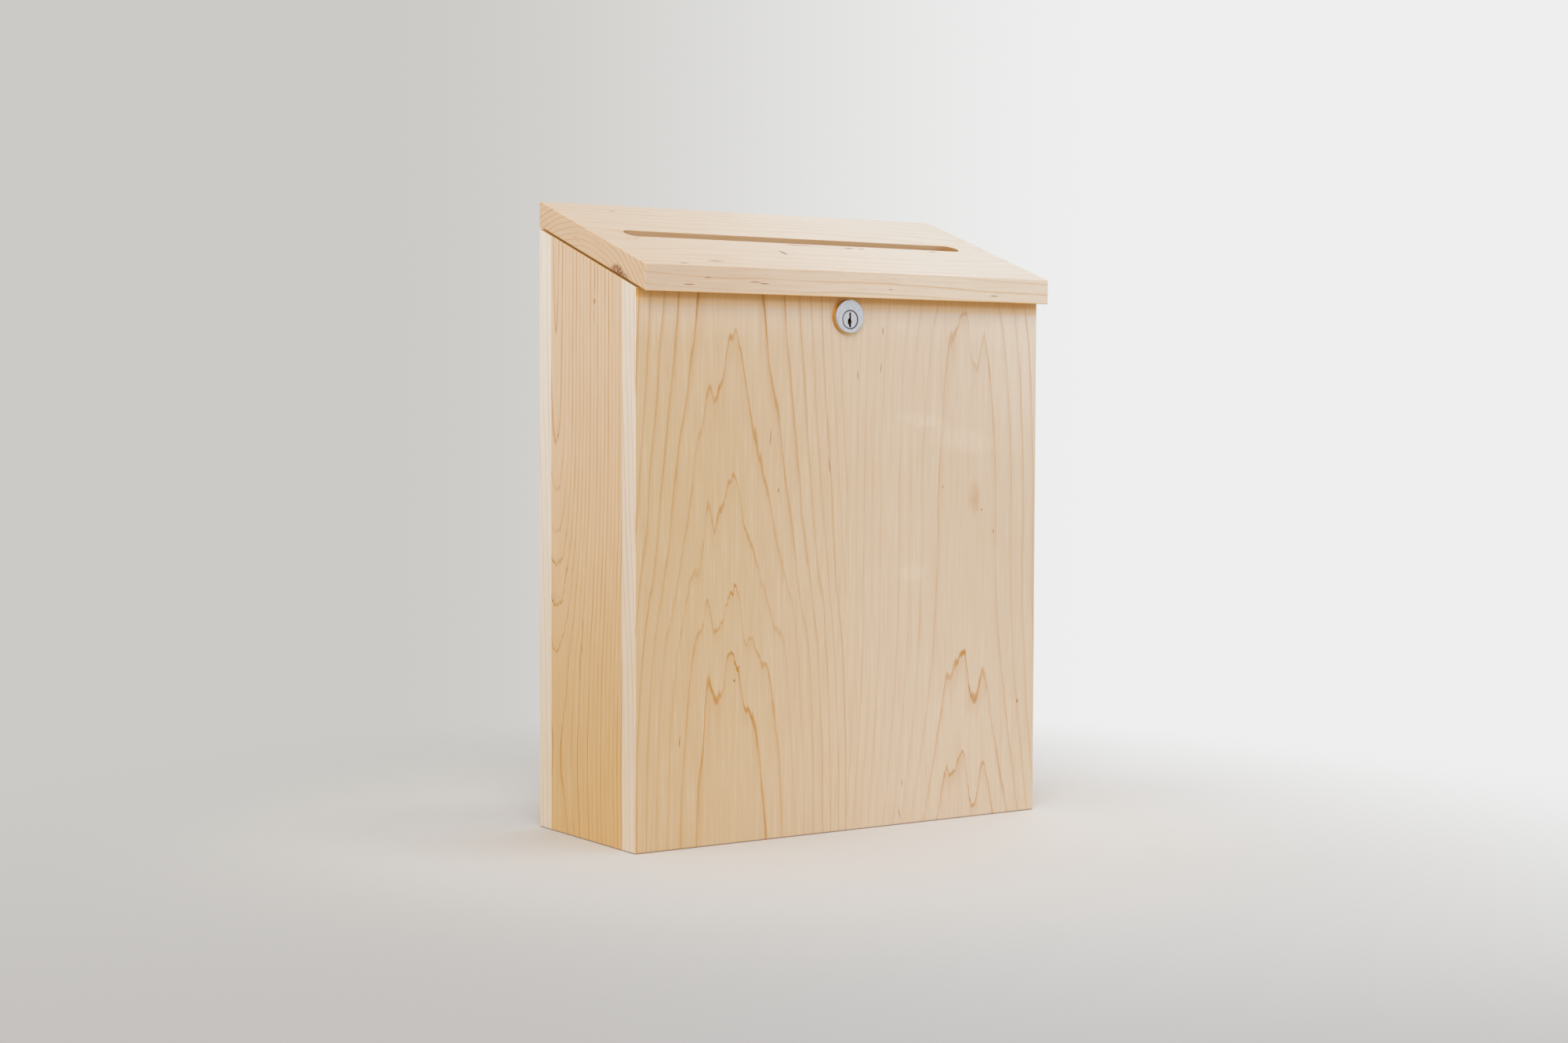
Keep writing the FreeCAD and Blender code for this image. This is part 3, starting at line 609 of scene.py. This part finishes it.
class COLLECTION_BOX_OT_side_boards(bpy.types.Operator):
    """Dress the two side boards"""

    bl_idname = "collection_box.side_boards"
    bl_label = "Side Boards"

    def execute(self, context):
        maple = context.scene.collection_box.maple
        left_corner = (SIDE_LOW.x, BACK_HIGH.y, 0)
        right_corner = (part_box("right_side")[1].x, FRONT_LOW.y, 0)
        self.board(maple, "left_side", left_corner, -math.pi / 2, LEFT_STAVE, LEFT_KNOTS)
        self.board(maple, "right_side", right_corner, math.pi / 2, RIGHT_STAVE, RIGHT_KNOTS)
        return {"FINISHED"}

    def board(self, maple, name, corner, turn, stave, knots):
        """Dress one side board, whose across direction runs to the right seen from outside."""
        material, s = new_finish(name + "_maple")
        place = s.place(corner, (0, 0, turn))
        x, y, z = s.split(place)
        line, late = ring_lines(s, x, y, z, stave, maple.line_width * 1.3)
        line = s.most(line, s.spots(place, knots) * 0.8)
        tint = s.mix(s.fade(z, -20, 450), maple.honey, maple.rosy)
        tint = s.mix(sloping_rim(s), tint, maple.oiled_and_glow)
        maple_surface(s, tint, line, late, foot_shadow(s, z), place, GRAIN_Z)
        dress(material, name)


# The lid is measured from its lower front left corner, along its slope and square to it.
LID_THICKNESS = 18.5
LID_STAVE = Stave(
    heart=84, seed=52.6, spacing=4.6, wander=4.0, jag=30, fading=3.0,
    rise=((0, 21.8), (120, 22.2), (240, 22.0), (381, 22.7), (450, 22.9)))

# Middle of the slot, half its sizes, and the middle of the calm grain in the lid's ends.
SLOT_X = 190.5
SLOT_Y = 93.0
SLOT_HALF_LENGTH = 160.0
SLOT_HALF_WIDTH = 8.25
END_CALM_Y = 97.0

TOP_FLECKS = [((x, y, LID_THICKNESS), (length, half, 3)) for x, y, length, half in (
    (182, 80, 16, 1.1), (152, 55, 2.2, 8), (230, 78, 6, 1.6), (242, 77, 4, 1.2), (315, 79, 7, 1.2),
    (70, 22, 10, 1.4), (37, 13, 6, 1.4), (55, 158, 4, 1.2))]
EDGE_DASHES = [((x, 0, z), (length, 3, half)) for x, z, length, half in (
    (37.5, 5.5, 7, 0.6), (54, 11, 4, 0.5), (96, 9, 7, 0.5), (104, 8, 6, 0.6), (222, 7, 3, 0.4),
    (325, 5, 6, 0.5))]
END_DASHES = [((0, y, z), (6, length, half)) for y, z, length, half in (
    (113, 7.8, 2.6, 0.5), (108.5, 5.8, 1.6, 0.4), (77.5, 12.5, 2.4, 0.5), (3, 17, 3, 0.7))]
END_TEARS = (((0, 43, 0), (6, 13, 8)), ((0, 32, 0), (6, 9, 4)))


class COLLECTION_BOX_OT_lid_panel(bpy.types.Operator):
    """Dress the lid, with end grain at its ends and a routed slot"""

    bl_idname = "collection_box.lid_panel"
    bl_label = "Lid Panel"

    def execute(self, context):
        maple = context.scene.collection_box.maple
        material, s = new_finish("lid_maple")
        place = s.place(LID_LOW, (LID_SLOPE, 0, 0))
        plumb = s.place(LID_LOW)
        x, y, z = s.split(place)
        front = s.fade(s.split(plumb)[1], 0.5, 0.1)
        ends = sawn_edge(s, x)
        line, late = ring_lines(s, y, 0 - z, x, LID_STAVE, maple.line_width)
        calm = s.fade(abs(y - END_CALM_Y), 5, 45) * 0.7 + 0.3
        line *= ends * 0.9 * calm + front * 0.2 + 0.5
        streak = s.fade(s.noise(place, (11, 0.7, 0.7), 57.0), 0.16, 0.3) * (1 - ends) * 0.3
        line = s.most(line, s.spots(place, END_DASHES) * ends * 0.7, streak)
        ragged = s.fade(s.noise(place, (6, 0.8, 4), 77.0), -0.09, 0.0)
        torn = s.spots(place, END_TEARS) * ragged * 2.2 * ends
        marks = s.most(s.spots(place, TOP_FLECKS), s.spots(plumb, EDGE_DASHES), torn)
        tint = self.tint(s, maple, place, front, ends)
        maple_surface(s, tint, line, late * (ends * 1.2 + 0.7), marks, place, GRAIN_X)
        dress(material, "lid_panel")
        return {"FINISHED"}

    def tint(self, s, maple, place, front, ends):
        """Return the colour of the lid's top, front, ends, underside and slot."""
        x, y, z = s.split(place)
        # Painted sheen: the lid grows paler towards its right end. Painted shade: its front grows darker
        # towards its left end.
        tint = s.mix(s.fade(x, -40, 330), s.mix(0.3, maple.pale, maple.rosy), maple.cream_and_highlight)
        tint = s.mix(front * 0.7, tint, s.mix(s.fade(x, 330, -60) * 0.3, maple.edge, maple.fleck_and_shade))
        tint = s.mix(ends, tint, s.mix(0.12, maple.rosy, maple.ring_line))
        # The lowest 1.2 mm of the lid is amber, with a painted warm glow at its ends.
        tint = s.mix(s.fade(z, 1.2, 0.2), tint, s.mix(ends * 0.9, maple.oiled_and_glow, maple.glow))
        burnt = s.fade(abs(x - SLOT_X), 136, 162) * s.fade(x, -200, 340)
        routed = s.mix(0.45, maple.rosy, maple.oiled_and_glow)
        routed = s.mix(burnt * 0.56 + 0.15, routed, maple.ring_line)
        return s.mix(self.slot_wall(s, x, y, z), tint, routed)

    def slot_wall(self, s, x, y, z):
        """Return 1 on the walls of the slot, below its eased mouth."""
        run = s.most(abs(x - SLOT_X) - (SLOT_HALF_LENGTH - SLOT_HALF_WIDTH), 0.0)
        reach = s.math("SQRT", run * run + (y - SLOT_Y) * (y - SLOT_Y))
        wall = s.fade(reach, SLOT_HALF_WIDTH + 0.5, SLOT_HALF_WIDTH + 0.2)
        return wall * s.fade(z, LID_THICKNESS - 0.3, LID_THICKNESS - 0.9)


PLY_STAVE = Stave(
    heart=60, seed=61.3, spacing=3.4, wander=3.5, rise=((0, 30), (150, 31.5), (300, 30.6), (450, 32)))
PLY_PAIR = 4.8


class COLLECTION_BOX_OT_bottom_panel(bpy.types.Operator):
    """Dress the plywood floor"""

    bl_idname = "collection_box.bottom_panel"
    bl_label = "Bottom Panel"

    def execute(self, context):
        maple = context.scene.collection_box.maple
        material, s = new_finish("birch_plywood")
        place = s.place(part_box("bottom_panel")[0])
        x, y, z = s.split(place)
        line, late = ring_lines(s, y, z, x, PLY_STAVE, maple.line_width * 1.5)
        layers = s.math("GREATER_THAN", s.math("FRACT", z / PLY_PAIR), 0.5)
        tint = s.mix(layers * 0.25, maple.warm, maple.honey)
        knot = s.spot(place, (220, 60, 12), (2, 3, 4))
        maple_surface(s, tint, line * 0.5, late * 0.7, knot, place, GRAIN_X)
        dress(material, "bottom_panel")
        return {"FINISHED"}


FLUTE_RATE = 4.0


class COLLECTION_BOX_OT_dowels(bpy.types.Operator):
    """Dress the glued corner dowels"""

    bl_idname = "collection_box.dowels"
    bl_label = "Dowels"

    def execute(self, context):
        maple = context.scene.collection_box.maple
        material, s = new_finish("beech_dowel")
        place = s.place()
        fibre = s.noise(place, (0.5, 9, 0.5), 71.0, 3.0)
        flute = s.math("SINE", s.split(place)[0] * FLUTE_RATE)
        tint = s.mix(fibre * 0.8 + 0.35, maple.pale, maple.warm)
        s.surface({"Base Color": tint, "Roughness": fibre * 0.2 + 0.62}, flute * 0.05 + fibre * 0.1, 0.4)
        dress(material, "front_corner_dowels", "back_corner_dowels")
        return {"FINISHED"}


PAD_DARK = (0.40, 0.36, 0.30)
PAD_LIGHT = (0.58, 0.54, 0.47)


class COLLECTION_BOX_OT_lid_bumpers(bpy.types.Operator):
    """Dress the thin pads that carry the lid's front"""

    bl_idname = "collection_box.lid_bumpers"
    bl_label = "Lid Bumpers"

    def execute(self, context):
        material, s = new_finish("clear_pad")
        place = s.place()
        cloud = s.noise(place, (1.6, 1.6, 1.6), 81.0, 3.0)
        tint = s.mix(cloud + 0.5, PAD_DARK, PAD_LIGHT)
        s.surface({"Base Color": tint, "Roughness": cloud * 0.2 + 0.5}, cloud * 0.1, 0.3)
        dress(material, "lid_bumpers")
        return {"FINISHED"}


def metal_finish(name, colour, rough, grain, bump):
    """Return a metal with fine grain, faint stains and slightly uneven gloss."""
    material, s = new_finish(name)
    place = s.place()
    fine = s.noise(place, grain, 91.0, 3.0)
    stain = s.noise(place, (6.0, 6.0, 6.0), 93.0, 3.0)
    dull = tuple(channel * 0.6 for channel in colour)
    tint = s.mix(fine * 0.35 + stain * 0.35 + 0.12, colour, dull)
    s.surface({"Base Color": tint, "Metallic": 1.0, "Roughness": fine * 0.2 + stain * 0.12 + rough},
              fine, bump)
    return material


class COLLECTION_BOX_OT_hinges(bpy.types.Operator):
    """Dress the hinge leaves and their pins"""

    bl_idname = "collection_box.hinges"
    bl_label = "Hinges"

    def execute(self, context):
        metal = context.scene.collection_box.metal
        leaf = metal_finish("brushed_nickel", metal.nickel, rough=0.34, grain=(5, 0.12, 0.12), bump=0.02)
        pin = metal_finish("turned_pin", metal.steel, rough=0.28, grain=(0.2, 1.0, 1.0), bump=0.02)
        for side in ("left", "right"):
            dress(leaf, side + "_hinge_frame_leaf", side + "_hinge_lid_leaf")
            dress(pin, side + "_hinge_pin")
        return {"FINISHED"}


# Near-black of the painted shadow in the groove round the plug.
GROOVE_SHADOW = (0.03, 0.03, 0.04)


class COLLECTION_BOX_OT_lock_front(bpy.types.Operator):
    """Dress the lock housing and its plug"""

    bl_idname = "collection_box.lock_front"
    bl_label = "Lock Front"

    def execute(self, context):
        metal = context.scene.collection_box.metal
        self.finish(metal, "satin_chrome", 0.36, "lock_housing", metal.satin)
        self.finish(metal, "plug_chrome", 0.28, "lock_plug", metal.brass)
        return {"FINISHED"}

    def finish(self, metal, name, rough, node, core):
        """Dress one piece: grainy face, painted shadow in the groove round the plug, painted amber
        reflection on the collar and the core behind.
        """
        material, s = new_finish(name)
        low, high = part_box("lock_plug")
        middle = (low + high) / 2
        place = s.place((middle.x, FRONT_LOW.y, middle.z))
        x, y, z = s.split(place)
        fine = s.noise(place, (0.6, 0.6, 0.6), 91.0, 2.0)
        stain = s.noise(place, (5.0, 5.0, 5.0), 93.0, 2.0)
        reach = s.math("SQRT", x * x + z * z)
        plug = (high.x - low.x) / 2 / MM
        # Painted shadow in the groove round the plug.
        groove = s.fade(abs(reach - plug), 0.7, 0.25) * s.fade(y, -3.0, -3.6)
        collar = s.fade(y, -3.6, -2.6) * s.fade(y, 1.0, 0.5)
        dull = tuple(channel * 0.5 for channel in metal.satin)
        tint = s.mix(fine * 1.3 + stain * 0.3 + 0.25, metal.satin, dull)
        tint = s.mix(s.fade(y, -3.8, -3.2), tint, s.mix(fine + 0.3, core, dull))
        # Painted amber reflection of the wood on the collar.
        tint = s.mix(collar * 0.9, tint, metal.collar)
        tint = s.mix(groove * 0.85, tint, GROOVE_SHADOW)
        s.surface({"Base Color": tint, "Metallic": 1.0, "Roughness": fine * 0.3 + groove * 0.3 + rough},
                  fine, 0.07)
        dress(material, node)


class COLLECTION_BOX_OT_lock_hardware(bpy.types.Operator):
    """Dress the nut, washers, cam, cam screw and catch behind the front"""

    bl_idname = "collection_box.lock_hardware"
    bl_label = "Lock Hardware"

    def execute(self, context):
        metal = context.scene.collection_box.metal
        zinc = metal_finish("zinc_plate", metal.zinc, rough=0.36, grain=(0.6,) * 3, bump=0.03)
        steel = metal_finish("screw_steel", metal.steel, rough=0.30, grain=(0.3,) * 3, bump=0.02)
        dress(zinc, "lock_washer", "lock_nut", "stop_washer", "lock_cam", "lid_catch")
        dress(steel, "cam_screw")
        return {"FINISHED"}


WELD = 0.002 * MM
FINE_WELD = 0.001 * MM


def islands(name):
    """Return the corner points of each separate solid of a CAD node, in a fixed order."""
    mesh = bmesh.new()
    mesh.from_mesh(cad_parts[name].data)
    bmesh.ops.remove_doubles(mesh, verts=mesh.verts, dist=WELD)
    found, waiting = [], dict.fromkeys(mesh.verts)
    while waiting:
        reached = [waiting.popitem()[0]]
        for vert in reached:
            ends = [edge.other_vert(vert) for edge in vert.link_edges]
            near = [end for end in ends if end in waiting]
            reached += near
            for end in near:
                del waiting[end]
        found.append([vert.co.copy() for vert in reached])
    mesh.free()
    return found


def mesh_object(name, mesh, material):
    """Put a mesh into the scene as an object of one material."""
    data = bpy.data.meshes.new(name)
    mesh.to_mesh(data)
    mesh.free()
    data.materials.append(material)
    made = bpy.data.objects.new(name, data)
    bpy.context.scene.collection.objects.link(made)
    return made


def new_piece(name, mesh, body, slot, material, *stands_for):
    """Make a mesh a piece of the object that rides on a body."""
    bmesh.ops.recalc_face_normals(mesh, faces=mesh.faces)
    piece = mesh_object(name, mesh, material)
    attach(piece, body)
    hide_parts(*stands_for)


def turned(mesh, outline, steps):
    """Spin an outline of radii and heights once round the upright axis."""
    verts = [mesh.verts.new((radius, 0, height)) for radius, height in outline]
    edges = [mesh.edges.new(pair) for pair in zip(verts, verts[1:])]
    bmesh.ops.spin(mesh, geom=verts + edges, cent=(0, 0, 0), axis=(0, 0, 1), dvec=(0, 0, 0),
                   angle=2 * math.pi, steps=steps, use_merge=True, use_duplicate=False)
    bmesh.ops.remove_doubles(mesh, verts=mesh.verts, dist=FINE_WELD)


HEAD_STEPS = 32
HEAD_RIM = 0.1 * MM
POINT_LENGTH = 3 * MM
RECESS_TAPER = 0.6

# The thread leaves some of the shank free, and its ridge takes up a share of the pitch.
THREAD_START = 1 * MM
THREAD_FREE = 4.5 * MM
RIDGE_SINK = 0.1 * MM
RIDGE_HEIGHT = 0.35 * MM
RIDGE_SHARE = 0.4

STEPS_PER_TURN = 16
WIRE_SIDES = 8


class COLLECTION_BOX_OT_wood_screws(bpy.types.Operator):
    """Model the countersunk screws of the hinges and the catch"""

    bl_idname = "collection_box.wood_screws"
    bl_label = "Wood Screws"

    def execute(self, context):
        props = context.scene.collection_box
        steel = metal_finish("bright_screw", props.metal.steel, rough=0.27, grain=(0.25,) * 3, bump=0.02)
        off_rim = Vector((0, -math.sin(LID_SLOPE), math.cos(LID_SLOPE)))
        rows = (("frame_leaf_screws", "box", off_rim), ("lid_leaf_screws", "lid", -off_rim),
                ("catch_screws", "lid", -off_rim))
        for node, body, out in rows:
            whole = bmesh.new()
            for points in islands(node):
                self.screw(whole, points, out, props.screw)
            new_piece(node + "_cut", whole, body, "screw_steel", steel, node)
        return {"FINISHED"}

    def screw(self, whole, points, out, sizes):
        """Add one screw in the place of a CAD screw that faces along out."""
        heights = [point.dot(out) for point in points]
        top, tip = max(heights), min(heights)
        middle = sum(points, Vector()) / len(points)
        head = max((point - middle - out * (point - middle).dot(out)).length for point in points)
        axis = middle - out * middle.dot(out)
        shank = head / 2
        neck = head - shank
        length = top - tip
        outline = [(head, 0), (head, -HEAD_RIM), (shank, -neck),
                   (shank, POINT_LENGTH - length), (0, -length)]
        mesh = bmesh.new()
        turned(mesh, outline, HEAD_STEPS)
        rim = [edge for edge in mesh.edges if edge.is_boundary]
        self.recess(mesh, rim, sizes)
        self.thread(mesh, shank, neck, length, sizes)
        turn = out.to_track_quat("Z", "Y").to_matrix().to_4x4()
        bmesh.ops.transform(mesh, verts=mesh.verts, matrix=Matrix.Translation(axis + out * top) @ turn)
        data = bpy.data.meshes.new("screw")
        mesh.to_mesh(data)
        mesh.free()
        whole.from_mesh(data)
        bpy.data.meshes.remove(data)

    def recess(self, mesh, rim, sizes):
        """Close the head's top round a tapered cross recess."""
        half, reach = sizes.recess_width / 2, sizes.recess_reach
        quarter = [(reach, -half), (reach, half), (half, half)]
        corners = []
        for step in range(4):
            spin = Matrix.Rotation(step * math.pi / 2, 3, "Z")
            corners += [mesh.verts.new(spin @ Vector((x, y, 0))) for x, y in quarter]
        cross = [mesh.edges.new(pair) for pair in zip(corners, corners[1:] + corners[:1])]
        bmesh.ops.triangle_fill(mesh, use_beauty=True, use_dissolve=False, edges=rim + cross)
        walls = bmesh.ops.extrude_edge_only(mesh, edges=cross)["geom"]
        deep = [item for item in walls if isinstance(item, bmesh.types.BMVert)]
        bmesh.ops.scale(mesh, vec=(RECESS_TAPER, RECESS_TAPER, 1), verts=deep)
        bmesh.ops.translate(mesh, vec=(0, 0, -sizes.recess_depth), verts=deep)
        floor = [item for item in walls if isinstance(item, bmesh.types.BMEdge) and item.is_boundary]
        bmesh.ops.triangle_fill(mesh, use_beauty=True, use_dissolve=False, edges=floor)

    def thread(self, mesh, shank, neck, length, sizes):
        """Wind a sharp ridge round the shank."""
        pitch = sizes.thread_pitch
        turns = int((length - neck - THREAD_FREE) / pitch)
        start = -neck - THREAD_START
        width = pitch * RIDGE_SHARE
        ridge = [(shank - RIDGE_SINK, start), (shank + RIDGE_HEIGHT, start - width / 2),
                 (shank - RIDGE_SINK, start - width)]
        verts = [mesh.verts.new((radius, 0, height)) for radius, height in ridge]
        face = mesh.faces.new(verts)
        bmesh.ops.spin(mesh, geom=[face, *face.edges, *verts], cent=(0, 0, 0), axis=(0, 0, 1),
                       dvec=(0, 0, -pitch / STEPS_PER_TURN), angle=2 * math.pi * turns,
                       steps=STEPS_PER_TURN * turns, use_merge=False, use_duplicate=False)


class COLLECTION_BOX_OT_tumblers(bpy.types.Operator):
    """Dress the tumbler pins and their cover, and wind the pin springs"""

    bl_idname = "collection_box.tumblers"
    bl_label = "Tumblers"

    def execute(self, context):
        props = context.scene.collection_box
        brass = metal_finish("pin_brass", props.metal.brass, rough=0.30, grain=(0.3,) * 3, bump=0.02)
        spring = metal_finish("spring_wire", props.metal.steel, rough=0.28, grain=(0.2,) * 3, bump=0.01)
        dress(brass, "key_pins", "driver_pins", "chamber_cover")
        whole = bmesh.new()
        for points in islands("pin_springs"):
            self.coil(whole, points, props.screw)
        new_piece("pin_spring_coils", whole, "box", "spring_steel", spring, "pin_springs")
        return {"FINISHED"}

    def coil(self, mesh, points, sizes):
        """Wind one spring in the place of a CAD spring."""
        low = Vector(min(point[axis] for point in points) for axis in range(3))
        high = Vector(max(point[axis] for point in points) for axis in range(3))
        wire = sizes.spring_wire / 2
        turns = sizes.spring_turns
        steps = STEPS_PER_TURN * turns
        middle = (low + high) / 2
        radius = (high.x - low.x) / 2 - wire
        rise = (high.z - low.z - 2 * wire) / steps
        foot = Matrix.Translation((middle.x + radius, middle.y, low.z + wire))
        upright = foot @ Matrix.Rotation(math.pi / 2, 4, "X")
        ring = bmesh.ops.create_circle(mesh, cap_ends=True, segments=WIRE_SIDES, radius=wire,
                                       matrix=upright)["verts"]
        face = ring[0].link_faces[0]
        bmesh.ops.spin(mesh, geom=[face, *face.edges, *ring], cent=middle, axis=(0, 0, 1),
                       dvec=(0, 0, rise), angle=2 * math.pi * turns, steps=steps,
                       use_merge=False, use_duplicate=False)


FLOOR_RADIUS = 4.0
FLOOR_SIDES = 96
FLOOR_DROP = 0.15 * MM
# Painted light on the floor right of the box and a painted shadow on its left.
PAINTED_LIGHT_PATCH = ((313, 17, 0), (420, 420, 50))
PAINTED_SHADOW_PATCH = ((-245, 106, 0), (170, 170, 50))
LAMP_AIM = Vector((0, 0, 0.25))
KEY_SIZE = 2.4
KEY_PLACE = (-1.6, -2.3, 1.9)
FILL_SIZE = 2.0
FILL_PLACE = (-2.5, 0.5, 0.9)
SENSOR_WIDTH = 36.0
FARTHEST = 50.0


class COLLECTION_BOX_OT_stage(bpy.types.Operator):
    """Set up the floor, the studio light and the camera"""

    bl_idname = "collection_box.stage"
    bl_label = "Stage"

    def execute(self, context):
        stage = context.scene.collection_box.stage
        self.floor(stage)
        self.air(context, stage)
        self.lights(context, stage)
        self.camera(context, stage)
        context.scene.view_settings.view_transform = "Standard"
        return {"FINISHED"}

    def studio_tone(self, s, stage, right, far):
        """Return the studio's tone, brighter to the camera's right and away from the camera; on the
        floor it is painted light.
        """
        near_tone = s.mix(right, stage.dim_floor, stage.bright_floor)
        far_tone = s.mix(right, stage.dim_air, stage.bright_air)
        return s.mix(far, near_tone, far_tone)

    def headings(self, stage):
        """Return the level directions to the camera's right and straight ahead of it."""
        sine, cosine = math.sin(stage.camera_turn), math.cos(stage.camera_turn)
        return (cosine, -sine, 0), (sine, cosine, 0)

    def floor(self, stage):
        """Lay a pale floor that fades into the studio's haze."""
        mesh = bmesh.new()
        bmesh.ops.create_circle(mesh, cap_ends=True, segments=FLOOR_SIDES, radius=FLOOR_RADIUS)
        bmesh.ops.translate(mesh, vec=(0, 0, -FLOOR_DROP), verts=mesh.verts)
        floor = mesh_object("studio_floor", mesh, self.floor_paper(stage))

    def floor_paper(self, stage):
        """Return the floor's material, with painted light on the box's right and a painted shadow on its
        left.
        """
        material, s = new_finish("floor_paper")
        place = s.place()
        cloud = s.noise(place, (700, 700, 700), 5.0, 3.0)
        distance = s.measure("LENGTH", place)
        sideways, ahead = self.headings(stage)
        right = s.fade(s.measure("DOT_PRODUCT", place, sideways), -200, 600)
        far = s.fade(s.measure("DOT_PRODUCT", place, ahead), -600, 330)
        studio = self.studio_tone(s, stage, right, far)
        tint = s.mix(s.fade(distance, 120, 700) + cloud * 0.15, stage.floor_tone, studio)
        tint = s.mix(s.spot(place, *PAINTED_LIGHT_PATCH) * 0.65, tint, stage.bright_air)
        tint = s.mix(s.spot(place, *PAINTED_SHADOW_PATCH) * 0.33, tint, stage.dim_floor)
        paper = s.node("ShaderNodeBsdfPrincipled", sockets={"Base Color": tint, "Roughness": 0.75})
        haze = s.node("ShaderNodeBsdfTransparent")
        both = s.node("ShaderNodeMixShader", sockets={0: s.fade(distance, 210, 720), 1: paper, 2: haze})
        s.node("ShaderNodeOutputMaterial", sockets={"Surface": both})
        return material

    def air(self, context, stage):
        """Fill the studio with soft light that is brighter on the camera's right."""
        world = bpy.data.worlds.new("studio_air")
        world.use_nodes = True
        context.scene.world = world
        s = Sheet(world.node_tree)
        way = s.node("ShaderNodeTexCoord", output="Generated")
        right = s.fade(s.measure("DOT_PRODUCT", way, self.headings(stage)[0]), -0.17, 0.14)
        far = s.fade(s.split(way)[2], -0.26, -0.13)
        studio = self.studio_tone(s, stage, right, far)
        light = s.node("ShaderNodeBackground", sockets={"Color": studio, "Strength": 1.0})
        s.node("ShaderNodeOutputWorld", sockets={"Surface": light})

    def lights(self, context, stage):
        """Hang a large soft light in front of the box and a weaker one on its left."""
        self.lamp(context, "key_light", stage.key_power, KEY_SIZE, KEY_PLACE)
        self.lamp(context, "fill_light", stage.fill_power, FILL_SIZE, FILL_PLACE)

    def lamp(self, context, name, power, size, place):
        """Hang one round soft light that faces the box."""
        light = bpy.data.lights.new(name, "AREA")
        light.shape = "DISK"
        light.size = size
        light.energy = power
        lamp = bpy.data.objects.new(name, light)
        turn = (LAMP_AIM - Vector(place)).to_track_quat("-Z", "Y").to_matrix().to_4x4()
        lamp.matrix_world = Matrix.Translation(place) @ turn
        context.scene.collection.objects.link(lamp)

    def camera(self, context, stage):
        """Stand the camera where the photograph was taken."""
        data = bpy.data.cameras.new("camera")
        data.sensor_width = SENSOR_WIDTH
        data.lens = stage.lens
        data.clip_end = FARTHEST
        camera = bpy.data.objects.new("camera", data)
        turn = Matrix.Rotation(-stage.camera_turn, 4, "Z")
        dip = Matrix.Rotation(math.pi / 2 - stage.camera_dip, 4, "X")
        roll = Matrix.Rotation(stage.camera_roll, 4, "Z")
        camera.matrix_world = Matrix.Translation(stage.camera_place) @ turn @ dip @ roll
        context.scene.collection.objects.link(camera)
        context.scene.camera = camera


OPERATORS = (
    COLLECTION_BOX_OT_front_panel,
    COLLECTION_BOX_OT_back_panel,
    COLLECTION_BOX_OT_side_boards,
    COLLECTION_BOX_OT_lid_panel,
    COLLECTION_BOX_OT_bottom_panel,
    COLLECTION_BOX_OT_dowels,
    COLLECTION_BOX_OT_lid_bumpers,
    COLLECTION_BOX_OT_hinges,
    COLLECTION_BOX_OT_wood_screws,
    COLLECTION_BOX_OT_lock_front,
    COLLECTION_BOX_OT_lock_hardware,
    COLLECTION_BOX_OT_tumblers,
    COLLECTION_BOX_OT_stage,
)


class COLLECTION_BOX_PT_panel(bpy.types.Panel):
    """Lists the steps that dress the box"""

    bl_idname = "COLLECTION_BOX_PT_panel"
    bl_label = "Collection Box"
    bl_space_type = "VIEW_3D"
    bl_region_type = "UI"
    bl_category = "Collection Box"

    def draw(self, context):
        props = context.scene.collection_box
        for group in (props.maple, props.metal, props.screw, props.stage):
            column = self.layout.column()
            for name in group.__annotations__:
                column.prop(group, name)
        for operator in OPERATORS:
            self.layout.operator(operator.bl_idname)


CLASSES = (MapleProps, MetalProps, ScrewProps, StageProps, BoxProps, *OPERATORS, COLLECTION_BOX_PT_panel)


def register():
    """Add the classes and the scene's settings."""
    for cls in CLASSES:
        bpy.utils.register_class(cls)
    bpy.types.Scene.collection_box = PointerProperty(type=BoxProps)


def unregister():
    """Take the settings and the classes away again."""
    del bpy.types.Scene.collection_box
    for cls in reversed(CLASSES):
        bpy.utils.unregister_class(cls)


def main():
    """Register the classes, then dress every piece."""
    register()
    for operator in OPERATORS:
        family, name = operator.bl_idname.split(".")
        getattr(getattr(bpy.ops, family), name)()


if __name__ == "__main__":
    main()
